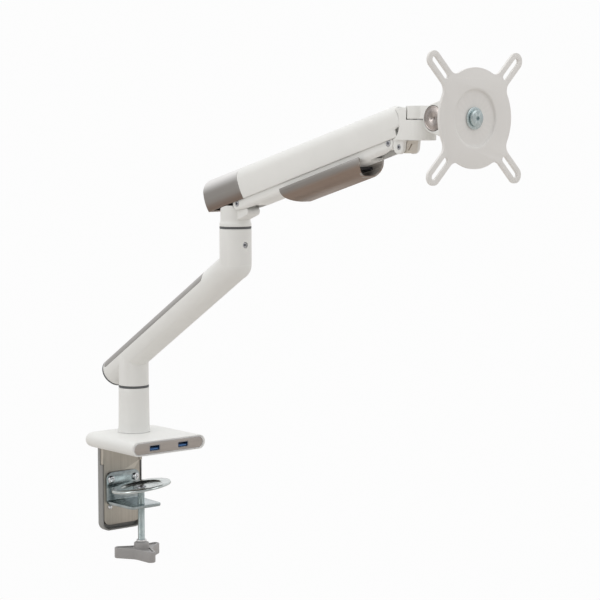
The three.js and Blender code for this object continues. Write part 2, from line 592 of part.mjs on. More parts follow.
function buildUpperArm() {
  const wall = housingOuter - housingInner;
  const upperFront = [linkLength + pivotShift.forward, pivotShift.up];
  const upperRear = [pivotShift.forward, pivotShift.up];
  const endRadius = 17.8;

  // The seam between rear cover and housing leans a little forward towards the bottom
  const seamTop = 7;
  const seamLean = 6.5;
  const seamAt = (shift) => [
    [seamTop + shift - 1, housingTop + 5.3], [seamTop + shift + seamLean + 0.4, housingBottom - 2.1]];
  const aheadOfSeam = outline([
    ...seamAt(gap / 2), [linkLength + 40, housingBottom - 2.1], [linkLength + 40, housingTop + 5.3]]);
  const behindSeam = outline([
    ...seamAt(-gap / 2), [-70, housingBottom - 2.1], [-70, housingTop + 5.3]]);

  const { outer, inner } = archShell(-60, linkLength + 30, wall);
  const frontEnd = new THREE.Shape();
  frontEnd.moveTo(-60, -5);
  frontEnd.lineTo(linkLength + 14.2, -5);
  frontEnd.lineTo(linkLength + 14.2, upperFront[1] - 7);
  frontEnd.absarc(...upperFront, endRadius, -rad(22), rad(75));
  frontEnd.lineTo(upperFront[0] + 4.6, 45);
  frontEnd.lineTo(-60, 45);
  const springForward = 222;
  const pinBores = [upperRear, upperFront, [springForward, upperRear[1]]].map((at) => crossPin(
    ...at, 3.8, -13.1, 13.1));
  const housing = cut(outer
    .intersect(sideCut(aheadOfSeam, -20, 20))
    .intersect(sideCut(frontEnd, -20, 20, 7)), inner, ...pinBores);
  addPiece(arm, 'arm_housing', housing, white);

  const tail = new THREE.Shape();
  tail.moveTo(30, -5);
  tail.lineTo(-46.5, housingBottom - 2);
  tail.quadraticCurveTo(-53.5, 17, -49.5, 30);
  tail.quadraticCurveTo(-48, housingTop + 1.6, -40, housingTop + 2);
  tail.lineTo(30, housingTop + 6);
  const innerTail = block([-20, 20], [-47.5, 60], [-10, 60]);
  const cover = cut(outer
    .intersect(sideCut(behindSeam, -20, 20))
    .intersect(sideCut(tail, -20, 20, 8)), inner.intersect(innerTail), pinBores[0]);
  addPiece(arm, 'rear_cover', cover, aluminium);

  pivotPin('housing_rear_pin', arm, upperRear, 3.5, 12.8);
  pivotPin('housing_front_pin', arm, upperFront, 3.5, 12.8);

  // Balance spring: cylinder pinned in the housing, rod ending in a roller on the cam
  const springHeight = upperRear[1];
  const cylinderRadius = 7.9;
  const rodRadius = 4;
  const cylinder = join(
    forwardPin(0, springHeight, cylinderRadius, 62, 208, 32),
    sideCut(roundBar([204, springHeight], [springForward, springHeight], 5.5), -5, 5));
  const rodBore = forwardPin(0, springHeight, rodRadius + gap, 40, 140);
  const eyeBore = crossPin(springForward, springHeight, 3.8, -9, 9);
  addPiece(arm, 'spring_cylinder', cut(cylinder, rodBore, eyeBore), steel);
  addPiece(arm, 'spring_pin', crossPin(springForward, springHeight, 3.5, -12.8, 12.8), steel);
  const rollerAt = pivotShift.forward + 8 + 4.9;
  const rollerRadius = 3;
  const forkArm = (x0, x1) => sideCut(
    roundBar([rollerAt, springHeight], [rollerAt + 9, springHeight], 2.6), x0, x1);
  const forkYoke = block(
    [-7.4, 7.4], [rollerAt + 5, rollerAt + 9.5], [springHeight - 2.9, springHeight + 2.9]);
  const fork = join(
    forkArm(-7.4, -5.3), forkArm(5.3, 7.4), forkYoke,
    forwardPin(0, springHeight, rodRadius, rollerAt + 8, 100));
  addPiece(arm, 'spring_rod', cut(fork, crossPin(rollerAt, springHeight, 1.5, -9, 9, 16)), chrome);
  const roller = crossPin(rollerAt, springHeight, rollerRadius, -5, 5);
  const rollerAxle = crossPin(rollerAt, springHeight, 1.2, -7.4, 7.4, 16);
  addPiece(arm, 'cam_roller', join(roller, rollerAxle), steel);

  // Link: a channel whose cheeks reach both pivots and whose web lies between them
  const linkTop = 6.5;
  const linkLow = -8.8;
  const channel = (half, low, high, round) => {
    const shape = new THREE.Shape();
    shape.absarc(-half + round, low + round, round, Math.PI, 1.5 * Math.PI);
    shape.absarc(half - round, low + round, round, 1.5 * Math.PI, 2 * Math.PI);
    shape.lineTo(half, high);
    shape.lineTo(-half, high);
    return shape;
  };
  const eye = 6.5;
  const profile = new THREE.Shape();
  profile.absarc(0, 0, eye, rad(110), rad(268));
  profile.lineTo(26, linkLow - 0.02);
  profile.lineTo(linkLength - 14, linkLow - 0.02);
  profile.absarc(linkLength, 0, eye, rad(-82), rad(70));
  profile.lineTo(linkLength - 10, linkTop);
  profile.lineTo(10, linkTop);
  const webFree = [block([-cheekInner, cheekInner], [-20, 28], [-20, 20]),
    block([-cheekInner, cheekInner], [205, 260], [-20, 20])];
  const bridgeAt = [100, 176];
  const bridgeHoles = bridgeAt.map((f) => placed(upright(0, 2.3, -20, 0, 20), [0, f, 0]));
  const link = cut(
    sectionCut(channel(cheekOuter, linkLow, linkTop + 1, 5), -20, linkLength + 20)
      .intersect(sideCut(profile, -20, 20)),
    sectionCut(channel(cheekInner, linkLow + 2.3, linkTop + 5, 3), -30, linkLength + 30),
    ...webFree, ...bridgeHoles,
    crossPin(0, 0, 3.3, -20, 20), crossPin(linkLength, 0, 3.3, -20, 20));
  addPiece(arm, 'arm_link', link, white);
  pivotPin('link_rear_pin', arm, [0, 0], 3, 11.1);
  pivotPin('link_front_pin', arm, [linkLength, 0], 3, 11.1);

  // Cable tray: a trough carried under the link on two bridges
  const trayHalf = 16;
  const trayTop = -3.4;
  const trayLow = -21.4;
  const trayWall = 1.7;
  const trough = new THREE.Shape();
  trough.moveTo(78, trayTop + 1);
  trough.quadraticCurveTo(75, trayTop + 1, 76, -7);
  trough.quadraticCurveTo(80, -16, 97, trayLow - 1);
  trough.lineTo(189, trayLow - 1);
  trough.lineTo(197, -8);
  trough.quadraticCurveTo(199, trayTop + 1, 193, trayTop + 1);
  const trayHollow = channel(trayHalf - trayWall, trayLow + trayWall, trayTop + 5, 10 - trayWall);
  const tray = cut(
    sectionCut(channel(trayHalf, trayLow, trayTop, 10), 60, 210, 5).intersect(sideCut(trough, -20, 20)),
    sectionCut(trayHollow, 50, 220, 5));
  addPiece(arm, 'cable_tray', tray, aluminium);
  bridgeAt.forEach((f, index) => {
    const end = index ? 'front' : 'rear';
    addPiece(arm, `tray_clip_${end}`, join(
      block([-13.9, 13.9], [f - 6, f + 6], [linkLow - 2.7, linkLow - gap]),
      placed(upright(0, 2, linkLow - 3, linkLow + 3.4, 16), [0, f, 0]),
      placed(upright(0, 3.6, linkLow - 4.6, linkLow - 2.6, 20), [0, f, 0])), black);
  });
}

// Front knuckle: keeps the head level; a tongue to both pivots and a round seat for the head
function buildFrontKnuckle() {
  const reliefRadius = 18.4;
  const body = new THREE.Shape();
  body.absarc(0, -swivelForward, blockHalf, Math.PI, 2 * Math.PI);
  body.lineTo(blockHalf, -frontPivot[0] + 2);
  body.lineTo(-blockHalf, -frontPivot[0] + 2);
  const relief = crossPin(...frontUpperPivot, reliefRadius, -20, 20, 40);
  const headSeat = upright(swivelForward, blockHalf + 0.4, swivelSeat, blockTop + 1, 36);
  const headPath = block([-blockHalf - 1, blockHalf + 1], [swivelForward, swivelForward + 20],
    [swivelSeat, blockTop + 1]);
  const shell = cut(planCut(body, blockBottom, blockTop, 8), relief, headSeat, headPath);
  // The neck behind the tongue stays low, because the housing's roof swings down over it
  const neckLimits = [345, 356.5];
  const tongue = join(
    sideCut(roundBar(frontPivot, frontUpperPivot, 6.3, 7), -tongueHalf, tongueHalf),
    block([-tongueHalf, tongueHalf], [frontPivot[0], frontPivot[0] + 18], neckLimits));
  const lobe = new THREE.Shape();
  lobe.moveTo(frontPivot[0] + 6, 346);
  lobe.lineTo(frontPivot[0] + 6, 338);
  lobe.absarc(frontPivot[0] + 13.8, 336.8, 6.6, rad(190), rad(360));
  lobe.lineTo(frontPivot[0] + 21.5, 346);
  const lobeRelief = crossPin(...frontPivot, 7.2, -20, 20, 32);
  const lobes = [[-cheekOuter, -7], [7, cheekOuter]].map(([x0, x1]) => cut(
    sideCut(lobe, x0, x1), lobeRelief));
  const lobePin = [frontPivot[0] + 14.6, 336.8];
  const bores = [
    crossPin(...frontPivot, 3.3, -9, 9), crossPin(...frontUpperPivot, 3.8, -9, 9),
    crossPin(...lobePin, 2.6, -20, 20), upright(swivelForward, 5.3, blockBottom + 3, swivelSeat + 5),
  ];
  addPiece(armature, 'front_knuckle', cut(join(shell, tongue, ...lobes), ...bores), white);
  pivotPin('knuckle_screw', armature, lobePin, 2.3, cheekOuter);

  const insert = new THREE.Shape();
  insert.moveTo(frontPivot[0] + 9.2, blockBottom - gap);
  insert.lineTo(frontPivot[0] + 9.2, 331.6);
  insert.absarc(frontPivot[0] + 18.4, 333.8, 2.8, -Math.PI / 2, 0);
  insert.quadraticCurveTo(frontPivot[0] + 21.4, blockBottom - 2, frontPivot[0] + 22.6, blockBottom - gap);
  const insertHole = crossPin(...lobePin, 2.6, -20, 20);
  addPiece(armature, 'knuckle_insert', cut(sideCut(insert, -6.7, 6.7), insertHole), taupe);
}

// Head: swivels on the knuckle and carries the tilt barrel
function buildHead() {
  const headBottom = swivelSeat + gap;
  const seat = upright(swivelForward, blockHalf, headBottom, blockTop, 36);
  const neck = block([-10.5, 10.5], [swivelForward, tiltForward], [headBottom, blockTop]);
  const web = block([-10.5, 10.5], [swivelForward + 16, tiltForward], [354.5, blockTop]);
  const barrel = crossPin(tiltForward, tiltHeight, 11.6, -earInner + gap, earInner - gap, 28);
  addPiece(armature, 'swivel_head', cut(
    join(seat, neck, web, barrel), crossPin(tiltForward, tiltHeight, 5.3, -20, 20),
    upright(swivelForward, 5.3, headBottom - 1, blockTop - 3)), white);
  addPiece(armature, 'swivel_pin', upright(swivelForward, 5, blockBottom + 3.3, blockTop - 3.3, 24), steel);
}

// Tilt bracket: two ears round the barrel that flare into the plate boss
function buildTiltBracket() {
  const backFace = 517.5;
  const bossFace = 523.6;
  const ear = new THREE.Shape();
  const earRadius = 13.4;
  ear.absarc(tiltForward, tiltHeight, earRadius, rad(115), rad(245));
  ear.lineTo(backFace, tiltHeight - 20);
  ear.lineTo(bossFace - 1, tiltHeight - 20);
  ear.lineTo(bossFace - 1, tiltHeight + 20);
  ear.lineTo(backFace, tiltHeight + 20);
  const capDepth = 2.2;
  const capRadius = 11.2;
  const sides = [[-earOuter, -earInner], [earInner, earOuter]].map(([x0, x1]) => sideCut(ear, x0, x1, 6));
  const back = sectionCut(roundedRect(
    -earOuter, earOuter, tiltHeight - 20, tiltHeight + 20, 3), backFace, bossFace - 1);
  const boss = forwardPin(0, tiltHeight, 16, bossFace - 2, bossFace, 28);
  const capSeats = [[-30, -earOuter + capDepth], [earOuter - capDepth, 30]].map(([x0, x1]) => crossPin(
    tiltForward, tiltHeight, capRadius + gap, x0, x1, 28));
  addPiece(armature, 'tilt_bracket', cut(
    join(...sides, back, boss), ...capSeats, crossPin(tiltForward, tiltHeight, 5.3, -30, 30),
    forwardPin(0, tiltHeight, 4.3, backFace - 1, bossFace + 1)), white);
  addPiece(armature, 'tilt_shaft', crossPin(
    tiltForward, tiltHeight, 5, -earOuter + capDepth + gap, earOuter - capDepth - gap), steel);
  [-1, 1].forEach((side) => {
    const x0 = side < 0 ? -earOuter - 0.6 : earOuter - capDepth + gap;
    const cap = crossPin(tiltForward, tiltHeight, capRadius, x0, x0 + capDepth + 0.3, 28);
    const dimple = crossPin(tiltForward, tiltHeight, 1.6, side < 0 ? -30 : earOuter + 0.1,
      side < 0 ? -earOuter - 0.1 : 30, 16);
    addPiece(armature, `tilt_cap_${side < 0 ? 'left' : 'right'}`, cut(cap, dimple), steel);
  });
}

// Screen plate: a disc with four slotted arms for the 75 and 100 mm hole patterns
function buildScreenPlate() {
  const back = plateFront - plateThickness;
  const recessDepth = 2.5;
  const recessFloor = 23;
  const recessRim = 26;
  const diagonals = [45, 135];
  const armBars = diagonals.map((angle) => {
    const reach = [slotOuter * Math.cos(rad(angle)), slotOuter * Math.sin(rad(angle))];
    return sectionCut(roundBar([-reach[0], tiltHeight - reach[1]], [reach[0], tiltHeight + reach[1]],
      plateArmRadius), back, plateFront, 4);
  });
  const slots = [45, 135, 225, 315].map((angle) => {
    const at = (r) => [r * Math.cos(rad(angle)), tiltHeight + r * Math.sin(rad(angle))];
    return sectionCut(roundBar(at(slotInner), at(slotOuter), slotWidth / 2), back - 1, plateFront + 1, 4);
  });
  const sheet = join(sectionCut(disc(0, tiltHeight, plateRadius), back, plateFront, 18), ...armBars);
  const bulge = forwardPin(
    0, tiltHeight, recessFloor + 1.5, back - recessDepth, back + 0.5, 28, recessRim + 1.5);
  const recess = forwardPin(
    0, tiltHeight, recessFloor, plateFront - recessDepth, plateFront + 0.01, 28, recessRim);
  const bore = forwardPin(0, tiltHeight, 4.6, back - 5, plateFront + 1);
  addPiece(armature, 'screen_plate', cut(join(sheet, bulge), recess, bore, ...slots), white);

  const recessFront = plateFront - recessDepth;
  addPiece(armature, 'friction_washer', cut(
    forwardPin(0, tiltHeight, 14, 523.9, back - recessDepth - gap, 24),
    forwardPin(0, tiltHeight, 4.6, 520, 530)), black);
  addPiece(armature, 'plate_washer', cut(
    forwardPin(0, tiltHeight, 10, recessFront + gap, recessFront + 1.8, 24),
    forwardPin(0, tiltHeight, 4.6, 520, 540)), zinc);
  const headFront = recessFront + 5;
  const bolt = join(
    forwardPin(0, tiltHeight, 4, 514, recessFront + 3, 24),
    forwardPin(0, tiltHeight, 6.2, recessFront + 2.1, headFront, 24, 7.5));
  const hexSocket = forwardPin(0, tiltHeight, 2.5, headFront - 2.5, headFront + 1, 6);
  addPiece(armature, 'plate_bolt', cut(bolt, hexSocket), zinc);
}

buildBase();
buildClamp();
buildLowerArm();
buildRearKnuckle();
buildUpperArm();
buildFrontKnuckle();
buildHead();
buildTiltBracket();
buildScreenPlate();

export default armature;
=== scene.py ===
import json
from math import atan2, cos, degrees, hypot, pi, radians, sin, sqrt, tan

import bmesh
import bpy
from mathutils import Matrix, Vector


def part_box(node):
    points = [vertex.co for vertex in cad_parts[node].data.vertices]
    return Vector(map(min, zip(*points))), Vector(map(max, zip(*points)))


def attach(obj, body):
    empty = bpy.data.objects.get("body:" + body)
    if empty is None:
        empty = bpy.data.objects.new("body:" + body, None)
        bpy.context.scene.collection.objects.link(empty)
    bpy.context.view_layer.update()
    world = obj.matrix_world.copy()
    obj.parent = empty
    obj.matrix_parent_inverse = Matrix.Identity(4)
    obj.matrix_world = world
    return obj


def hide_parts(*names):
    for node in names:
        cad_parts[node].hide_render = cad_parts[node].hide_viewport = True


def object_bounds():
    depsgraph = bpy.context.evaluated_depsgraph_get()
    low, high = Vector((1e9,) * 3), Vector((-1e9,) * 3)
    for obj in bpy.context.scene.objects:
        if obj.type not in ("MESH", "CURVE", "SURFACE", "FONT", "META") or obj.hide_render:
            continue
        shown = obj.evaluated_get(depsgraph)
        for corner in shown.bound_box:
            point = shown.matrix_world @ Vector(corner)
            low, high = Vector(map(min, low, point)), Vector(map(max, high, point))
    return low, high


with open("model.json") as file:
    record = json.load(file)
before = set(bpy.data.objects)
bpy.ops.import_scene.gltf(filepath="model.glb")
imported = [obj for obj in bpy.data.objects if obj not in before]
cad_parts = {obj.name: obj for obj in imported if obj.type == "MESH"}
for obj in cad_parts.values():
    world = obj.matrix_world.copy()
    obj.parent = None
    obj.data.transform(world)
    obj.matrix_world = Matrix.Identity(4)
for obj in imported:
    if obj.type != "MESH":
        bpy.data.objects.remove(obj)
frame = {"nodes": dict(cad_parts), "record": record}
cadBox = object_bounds()
mm = 0.001
record = frame["record"]
homeOf = {node: body for body, nodes in record["behaviour"]["bodies"].items() for node in nodes}
slotOf = {part["node"]: part["material_slot"] for part in record["subparts"]}
jointAt = {joint["name"]: joint.get("pos_m") for joint in record["behaviour"]["joints"]}


def span(node):  # a node's limits in mm, as across, forward and up
    low, high = (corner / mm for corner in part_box(node))
    return (low.x, high.x), (-high.y, -low.y), (low.z, high.z)


def heights(node):
    return span(node)[2]


def pivot(joint):  # a joint's place in mm, as (forward, up)
    x, y, z = jointAt[joint]
    return -y / mm, z / mm


linkRear = pivot("link_swing")
liftPivot = pivot("arm_lift")
levelPivot = pivot("head_level")
elbowForward = pivot("elbow_swing")[0]
swivelForward, swivelSeat = pivot("head_swivel")
tiltAt = pivot("screen_tilt")
discAt = pivot("disc_tilt")
armPitch = atan2(levelPivot[1] - liftPivot[1], levelPivot[0] - liftPivot[0])
pinHole = 3.3  # bore radii in mm
liftHole = 3.8
shaftHole = 5.3
pivotRise = 18  # the housing's pivots lie this far above the link's
print("frame read, upper arm leans", round(degrees(armPitch), 1), "degrees")


# Camera, floor and light
studio = {
    "eye": (-1.2084, -1.7259, 0.3603), "turn": (84.63, 0, -40.04), "lens": 114,
    "floorSize": 60, "floorDrop": 0.02, "floorTone": (0.64, 0.61, 0.58), "backdrop": 0.98,
    "skyTop": 0.98, "skySide": 0.72, "skyLow": 0.45, "behind": (0.57, 0.82, 0), "dimFront": 0.62,
    "litBack": 1.25, "target": (0, -0.25, 0.15),
}
lamps = {  # place, size and power
    "topSoftbox": ((-0.3, -0.4, 2.2), (1.8, 1.8), 10),
    "leftSoftbox": ((-2.2, 0.2, 1.1), (0.9, 1.8), 8),
    "frontSoftbox": ((0.9, -2.4, 1.3), (1.2, 1.2), 6),
}


def joinSockets(tree, *pairs):
    for start, end in pairs:
        tree.links.new(start, end)


def makeStudio(look):
    lens = bpy.data.cameras.new("studioCamera")
    lens.lens = look["lens"]
    lens.clip_end = 200
    camera = bpy.data.objects.new("studioCamera", lens)
    camera.location = look["eye"]
    camera.rotation_euler = [radians(angle) for angle in look["turn"]]
    bpy.context.scene.collection.objects.link(camera)
    bpy.context.scene.camera = camera

    half = look["floorSize"] / 2
    sheet = bpy.data.meshes.new("studioFloor")
    corners = [(-half, -half, 0), (half, -half, 0), (half, half, 0), (-half, half, 0)]
    sheet.from_pydata(corners, [], [(0, 1, 2, 3)])
    floor = bpy.data.objects.new("studioFloor", sheet)
    floor.location.z = cadBox[0].z - look["floorDrop"]
    bpy.context.scene.collection.objects.link(floor)
    pale = bpy.data.materials.new("paleFloor")
    pale.use_nodes = True
    tree = pale.node_tree
    surface = tree.nodes["Principled BSDF"]
    surface.inputs["Base Color"].default_value = (*look["floorTone"], 1)
    surface.inputs["Roughness"].default_value = 0.9
    kinds = ("LightPath", "Emission", "MixShader")
    seen, plain, mix = (tree.nodes.new("ShaderNode" + kind) for kind in kinds)
    plain.inputs["Color"].default_value = [look["backdrop"]] * 3 + [1]
    joinSockets(
        tree, (seen.outputs["Is Camera Ray"], mix.inputs[0]), (surface.outputs[0], mix.inputs[1]),
        (plain.outputs[0], mix.inputs[2]), (mix.outputs[0], tree.nodes["Material Output"].inputs[0]))
    sheet.materials.append(pale)

    world = bpy.data.worlds.new("softRoom")
    world.use_nodes = True
    tree = world.node_tree
    tree.nodes.clear()
    kinds = ("TexCoord", "SeparateXYZ", "ValToRGB", "MapRange", "MapRange", "VectorMath",
             "Background", "Background", "LightPath", "MixShader", "OutputWorld")
    way, split, ramp, rise, around, facing, glow, plain, seen, mix, out = (
        tree.nodes.new("ShaderNode" + kind) for kind in kinds)
    rise.inputs["From Min"].default_value = -1
    ramp.color_ramp.elements[0].color = [look["skyLow"]] * 3 + [1]
    ramp.color_ramp.elements[1].color = [look["skyTop"]] * 3 + [1]
    middle = ramp.color_ramp.elements.new(0.5)
    middle.color = [look["skySide"]] * 3 + [1]
    facing.operation = "DOT_PRODUCT"
    facing.inputs[1].default_value = look["behind"]
    around.inputs["From Min"].default_value = -1
    around.inputs["To Min"].default_value = look["dimFront"]
    around.inputs["To Max"].default_value = look["litBack"]
    plain.inputs["Color"].default_value = [look["backdrop"]] * 3 + [1]
    joinSockets(
        tree, (way.outputs["Generated"], split.inputs[0]), (split.outputs["Z"], rise.inputs["Value"]),
        (rise.outputs[0], ramp.inputs[0]), (way.outputs["Generated"], facing.inputs[0]),
        (facing.outputs["Value"], around.inputs["Value"]), (ramp.outputs[0], glow.inputs["Color"]),
        (around.outputs[0], glow.inputs["Strength"]), (seen.outputs["Is Camera Ray"], mix.inputs[0]),
        (glow.outputs[0], mix.inputs[1]), (plain.outputs[0], mix.inputs[2]),
        (mix.outputs[0], out.inputs[0]))
    bpy.context.scene.world = world
    bpy.context.scene.view_settings.view_transform = "Standard"


def addLamp(name, place, target, size, power):
    light = bpy.data.lights.new(name, "AREA")
    light.shape = "RECTANGLE"
    light.size, light.size_y = size
    light.energy = power
    lamp = bpy.data.objects.new(name, light)
    lamp.location = place
    aim = Vector(target) - Vector(place)
    lamp.rotation_euler = aim.to_track_quat("-Z", "Y").to_euler()
    bpy.context.scene.collection.objects.link(lamp)


makeStudio(studio)
for name, (place, size, power) in lamps.items():
    addLamp(name, place, studio["target"], size, power)
print("studio ready")


# Outlines, as lists of (a, b) in mm
def arc(a, b, radius, start, end, steps=12):
    angles = (radians(start + (end - start) * step / steps) for step in range(steps + 1))
    return [(a + radius * cos(angle), b + radius * sin(angle)) for angle in angles]


def roundRect(a0, a1, b0, b1, radius, steps=8):
    return (arc(a1 - radius, b0 + radius, radius, -90, 0, steps)
            + arc(a1 - radius, b1 - radius, radius, 0, 90, steps)
            + arc(a0 + radius, b1 - radius, radius, 90, 180, steps)
            + arc(a0 + radius, b0 + radius, radius, 180, 270, steps))


def roundBar(p, q, radius, endRadius=None, steps=16):
    heading = degrees(atan2(q[1] - p[1], q[0] - p[0]))
    far = radius if endRadius is None else endRadius
    return (arc(*q, far, heading - 90, heading + 90, steps)
            + arc(*p, radius, heading + 90, heading + 270, steps))


def eased(points, radius, steps=4, closed=True):  # rounds every corner of an outline
    made = []
    count = len(points)
    for index, here in enumerate(points):
        if not closed and index in (0, count - 1):
            made.append(here)
            continue
        before, after = points[index - 1], points[(index + 1) % count]
        toward = []
        for other in (before, after):
            reach = hypot(other[0] - here[0], other[1] - here[1]) or 1
            cut = min(radius, reach * 0.45)
            toward.append(tuple(h + (o - h) * cut / reach for h, o in zip(here, other)))
        for step in range(steps + 1):
            t = step / steps
            made.append(tuple((1 - t) ** 2 * a + 2 * t * (1 - t) * h + t * t * b
                              for a, h, b in zip(toward[0], here, toward[1])))
    return made


def bend(p, control, q, steps=10):  # quadratic curve
    return [tuple((1 - t) ** 2 * a + 2 * t * (1 - t) * c + t * t * b for a, c, b in zip(p, control, q))
            for t in (step / steps for step in range(steps + 1))]


# Solids. A point is (across, forward, up) in mm, and forward is -Y
planes = {
    "plan": lambda a, b, t: (a, b, t),
    "section": lambda a, b, t: (a, t, b),
    "side": lambda a, b, t: (t, a, b),
}


def solidFrom(mesh, name="solid"):
    bmesh.ops.remove_doubles(mesh, verts=mesh.verts, dist=2e-6)
    bmesh.ops.recalc_face_normals(mesh, faces=mesh.faces)
    data = bpy.data.meshes.new(name)
    mesh.to_mesh(data)
    mesh.free()
    made = bpy.data.objects.new(name, data)
    bpy.context.scene.collection.objects.link(made)
    return made


def spot(point):
    x, forward, up = point
    return Vector((x, -forward, up)) * mm


def loft(rings, closedEnds=True, loop=False):  # rings of equal length, each a closed line
    mesh = bmesh.new()
    rows = [[mesh.verts.new(spot(point)) for point in ring] for ring in rings]
    pairs = list(zip(rows, rows[1:])) + ([(rows[-1], rows[0])] if loop else [])
    for low, high in pairs:
        for index in range(len(low)):
            after = (index + 1) % len(low)
            mesh.faces.new((low[index], low[after], high[after], high[index]))
    if closedEnds and not loop:
        mesh.faces.new(rows[0])
        mesh.faces.new(rows[-1])
    return solidFrom(mesh)


def prism(points, plane, low, high):
    return loft([[planes[plane](a, b, t) for a, b in points] for t in (low, high)])


def block(across, forward, up):
    (x0, x1), (f0, f1) = across, forward
    return prism([(x0, f0), (x1, f0), (x1, f1), (x0, f1)], "plan", *up)


def turned(profile, kind="up", at=(0, 0), steps=72):  # (radius, height) points, turned about an axis
    mesh = bmesh.new()
    rows = []
    for radius, height in profile:
        row = []
        for step in range(1 if radius < 1e-6 else steps):
            angle = 2 * pi * step / steps
            a, b = radius * cos(angle), radius * sin(angle)
            point = {"up": (at[0] + a, at[1] + b, height), "across": (height, at[0] + a, at[1] + b),
                     "forward": (at[0] + a, height, at[1] + b)}[kind]
            row.append(mesh.verts.new(spot(point)))
        rows.append(row)
    closes = profile[0][0] > 1e-6
    for low, high in list(zip(rows, rows[1:])) + ([(rows[-1], rows[0])] if closes else []):
        for step in range(steps):
            after = (step + 1) % steps
            corners = [low[step % len(low)], low[after % len(low)],
                       high[after % len(high)], high[step % len(high)]]
            distinct = list(dict.fromkeys(corners))
            if len(distinct) > 2:
                mesh.faces.new(distinct)
    return solidFrom(mesh)


def rod(radius, low, high, kind="up", at=(0, 0), steps=72, ease=0.0):
    profile = [(0, low), (radius, low), (radius, high), (0, high)]
    return turned(eased(profile, ease, 4, closed=False) if ease else profile, kind, at, steps)


def ring(inner, outer, low, high, kind="up", at=(0, 0), steps=72, ease=0.25):
    return turned(eased([(inner, low), (outer, low), (outer, high), (inner, high)], ease, 3), kind, at, steps)


def bake(piece):
    graph = bpy.context.evaluated_depsgraph_get()
    made = bpy.data.meshes.new_from_object(piece.evaluated_get(graph))
    piece.modifiers.clear()
    piece.data = made
    return piece


def combine(piece, how, others):
    for other in others:
        step = piece.modifiers.new("combine", "BOOLEAN")
        step.operation = how
        step.solver = "MANIFOLD"
        step.object = other
        bake(piece)
        bpy.data.objects.remove(other)
    return piece


def join(piece, *others):
    return combine(piece, "UNION", others)


def cut(piece, *others):
    return combine(piece, "DIFFERENCE", others)


def within(piece, *others):
    return combine(piece, "INTERSECT", others)


def soften(piece, width=0.5, segments=3, angle=35, limit=True):  # rounds the sharp edges
    step = piece.modifiers.new("edges", "BEVEL")
    step.width = width * mm
    step.segments = segments
    step.limit_method = "ANGLE"
    step.angle_limit = radians(angle)
    step.use_clamp_overlap = limit
    return bake(piece)


def lean(piece, angle, place):  # leans a piece up by an angle about X and sets it at (forward, up)
    shift = Matrix.Translation(spot((0, *place))) @ Matrix.Rotation(-angle, 4, "X")
    piece.data.transform(shift)
    return piece


def onArm(piece):
    return lean(piece, armPitch, linkRear)


# Shader maths
class Wire:
    def __init__(self, paint, socket):
        self.paint = paint
        self.socket = socket

    def maths(self, operation, first, second):
        return self.paint.node("ShaderNodeMath", {"operation": operation}, {0: first, 1: second})

    def __add__(self, other):
        return self.maths("ADD", self, other)

    def __radd__(self, other):
        return self.maths("ADD", other, self)

    def __sub__(self, other):
        return self.maths("SUBTRACT", self, other)

    def __rsub__(self, other):
        return self.maths("SUBTRACT", other, self)

    def __mul__(self, other):
        return self.maths("MULTIPLY", self, other)

    def __rmul__(self, other):
        return self.maths("MULTIPLY", other, self)

    def __truediv__(self, other):
        return self.maths("DIVIDE", self, other)

    def __rtruediv__(self, other):
        return self.maths("DIVIDE", other, self)

    def between(self, low, high):  # 0 to 1 between two values, smoothly
        return self.paint.node("ShaderNodeMapRange", {"interpolation_type": "SMOOTHSTEP"},
                               {0: self, 1: low, 2: high})


class Paint:
    def __init__(self, name):
        self.material = bpy.data.materials.new(name)
        self.material.use_nodes = True
        self.tree = self.material.node_tree
        self.tree.nodes.clear()
        self.place = self.node("ShaderNodeTexCoord", output="Object")

    def node(self, kind, settings=None, inputs=None, output=0):
        made = self.tree.nodes.new(kind)
        for key, value in (settings or {}).items():
            setattr(made, key, value)
        for key, value in (inputs or {}).items():
            if isinstance(value, Wire):
                self.tree.links.new(value.socket, made.inputs[key])
            else:
                made.inputs[key].default_value = value
        return Wire(self, made.outputs[output])

    def blend(self, share, first, second):
        return self.node("ShaderNodeMix", {"data_type": "RGBA"}, {0: share, 6: first, 7: second}, output=2)

    def vector(self, operation, first, second=(0, 0, 0), output=0):
        return self.node("ShaderNodeVectorMath", {"operation": operation}, {0: first, 1: second}, output)

    def stretched(self, scale, tilt=0):  # object coordinates turned about X, then scaled
        leant = self.node("ShaderNodeMapping", None, {0: self.place, 2: (tilt, 0, 0)})
        return self.vector("MULTIPLY", leant, scale)

    def noise(self, scale, detail=3.0, where=None, rough=0.5):
        return self.node("ShaderNodeTexNoise", None, {
            "Vector": where or self.place, "Scale": scale, "Detail": detail, "Roughness": rough})

    def edgeHighlight(self, low=0.52, high=0.6):  # painted highlight along the outer edges, found from the mesh's own curvature
        return self.node("ShaderNodeNewGeometry", output="Pointiness").between(low, high)

    def bump(self, height, strength, distance):
        return self.node("ShaderNodeBump", None, {
            "Strength": strength, "Distance": distance, "Height": height})

    def finish(self, colour, roughness, metallic=0.0, normal=None, **fixed):
        inputs = {"Base Color": colour, "Roughness": roughness, "Metallic": metallic}
        if normal is not None:
            inputs["Normal"] = normal
        inputs.update({key.replace("_", " "): value for key, value in fixed.items()})
        shader = self.node("ShaderNodeBsdfPrincipled", None, inputs)
        out = self.tree.nodes.new("ShaderNodeOutputMaterial")
        self.tree.links.new(shader.socket, out.inputs[0])
        return self.material


def tone(red, green, blue):  # screen colour 0-255 to a linear colour
    def linear(value):
        share = value / 255
        return share / 12.92 if share <= 0.04045 else ((share + 0.055) / 1.055) ** 2.4
    return linear(red), linear(green), linear(blue), 1


def shade(colour, factor):
    return tuple(min(1, part * factor) for part in colour[:3]) + (1,)


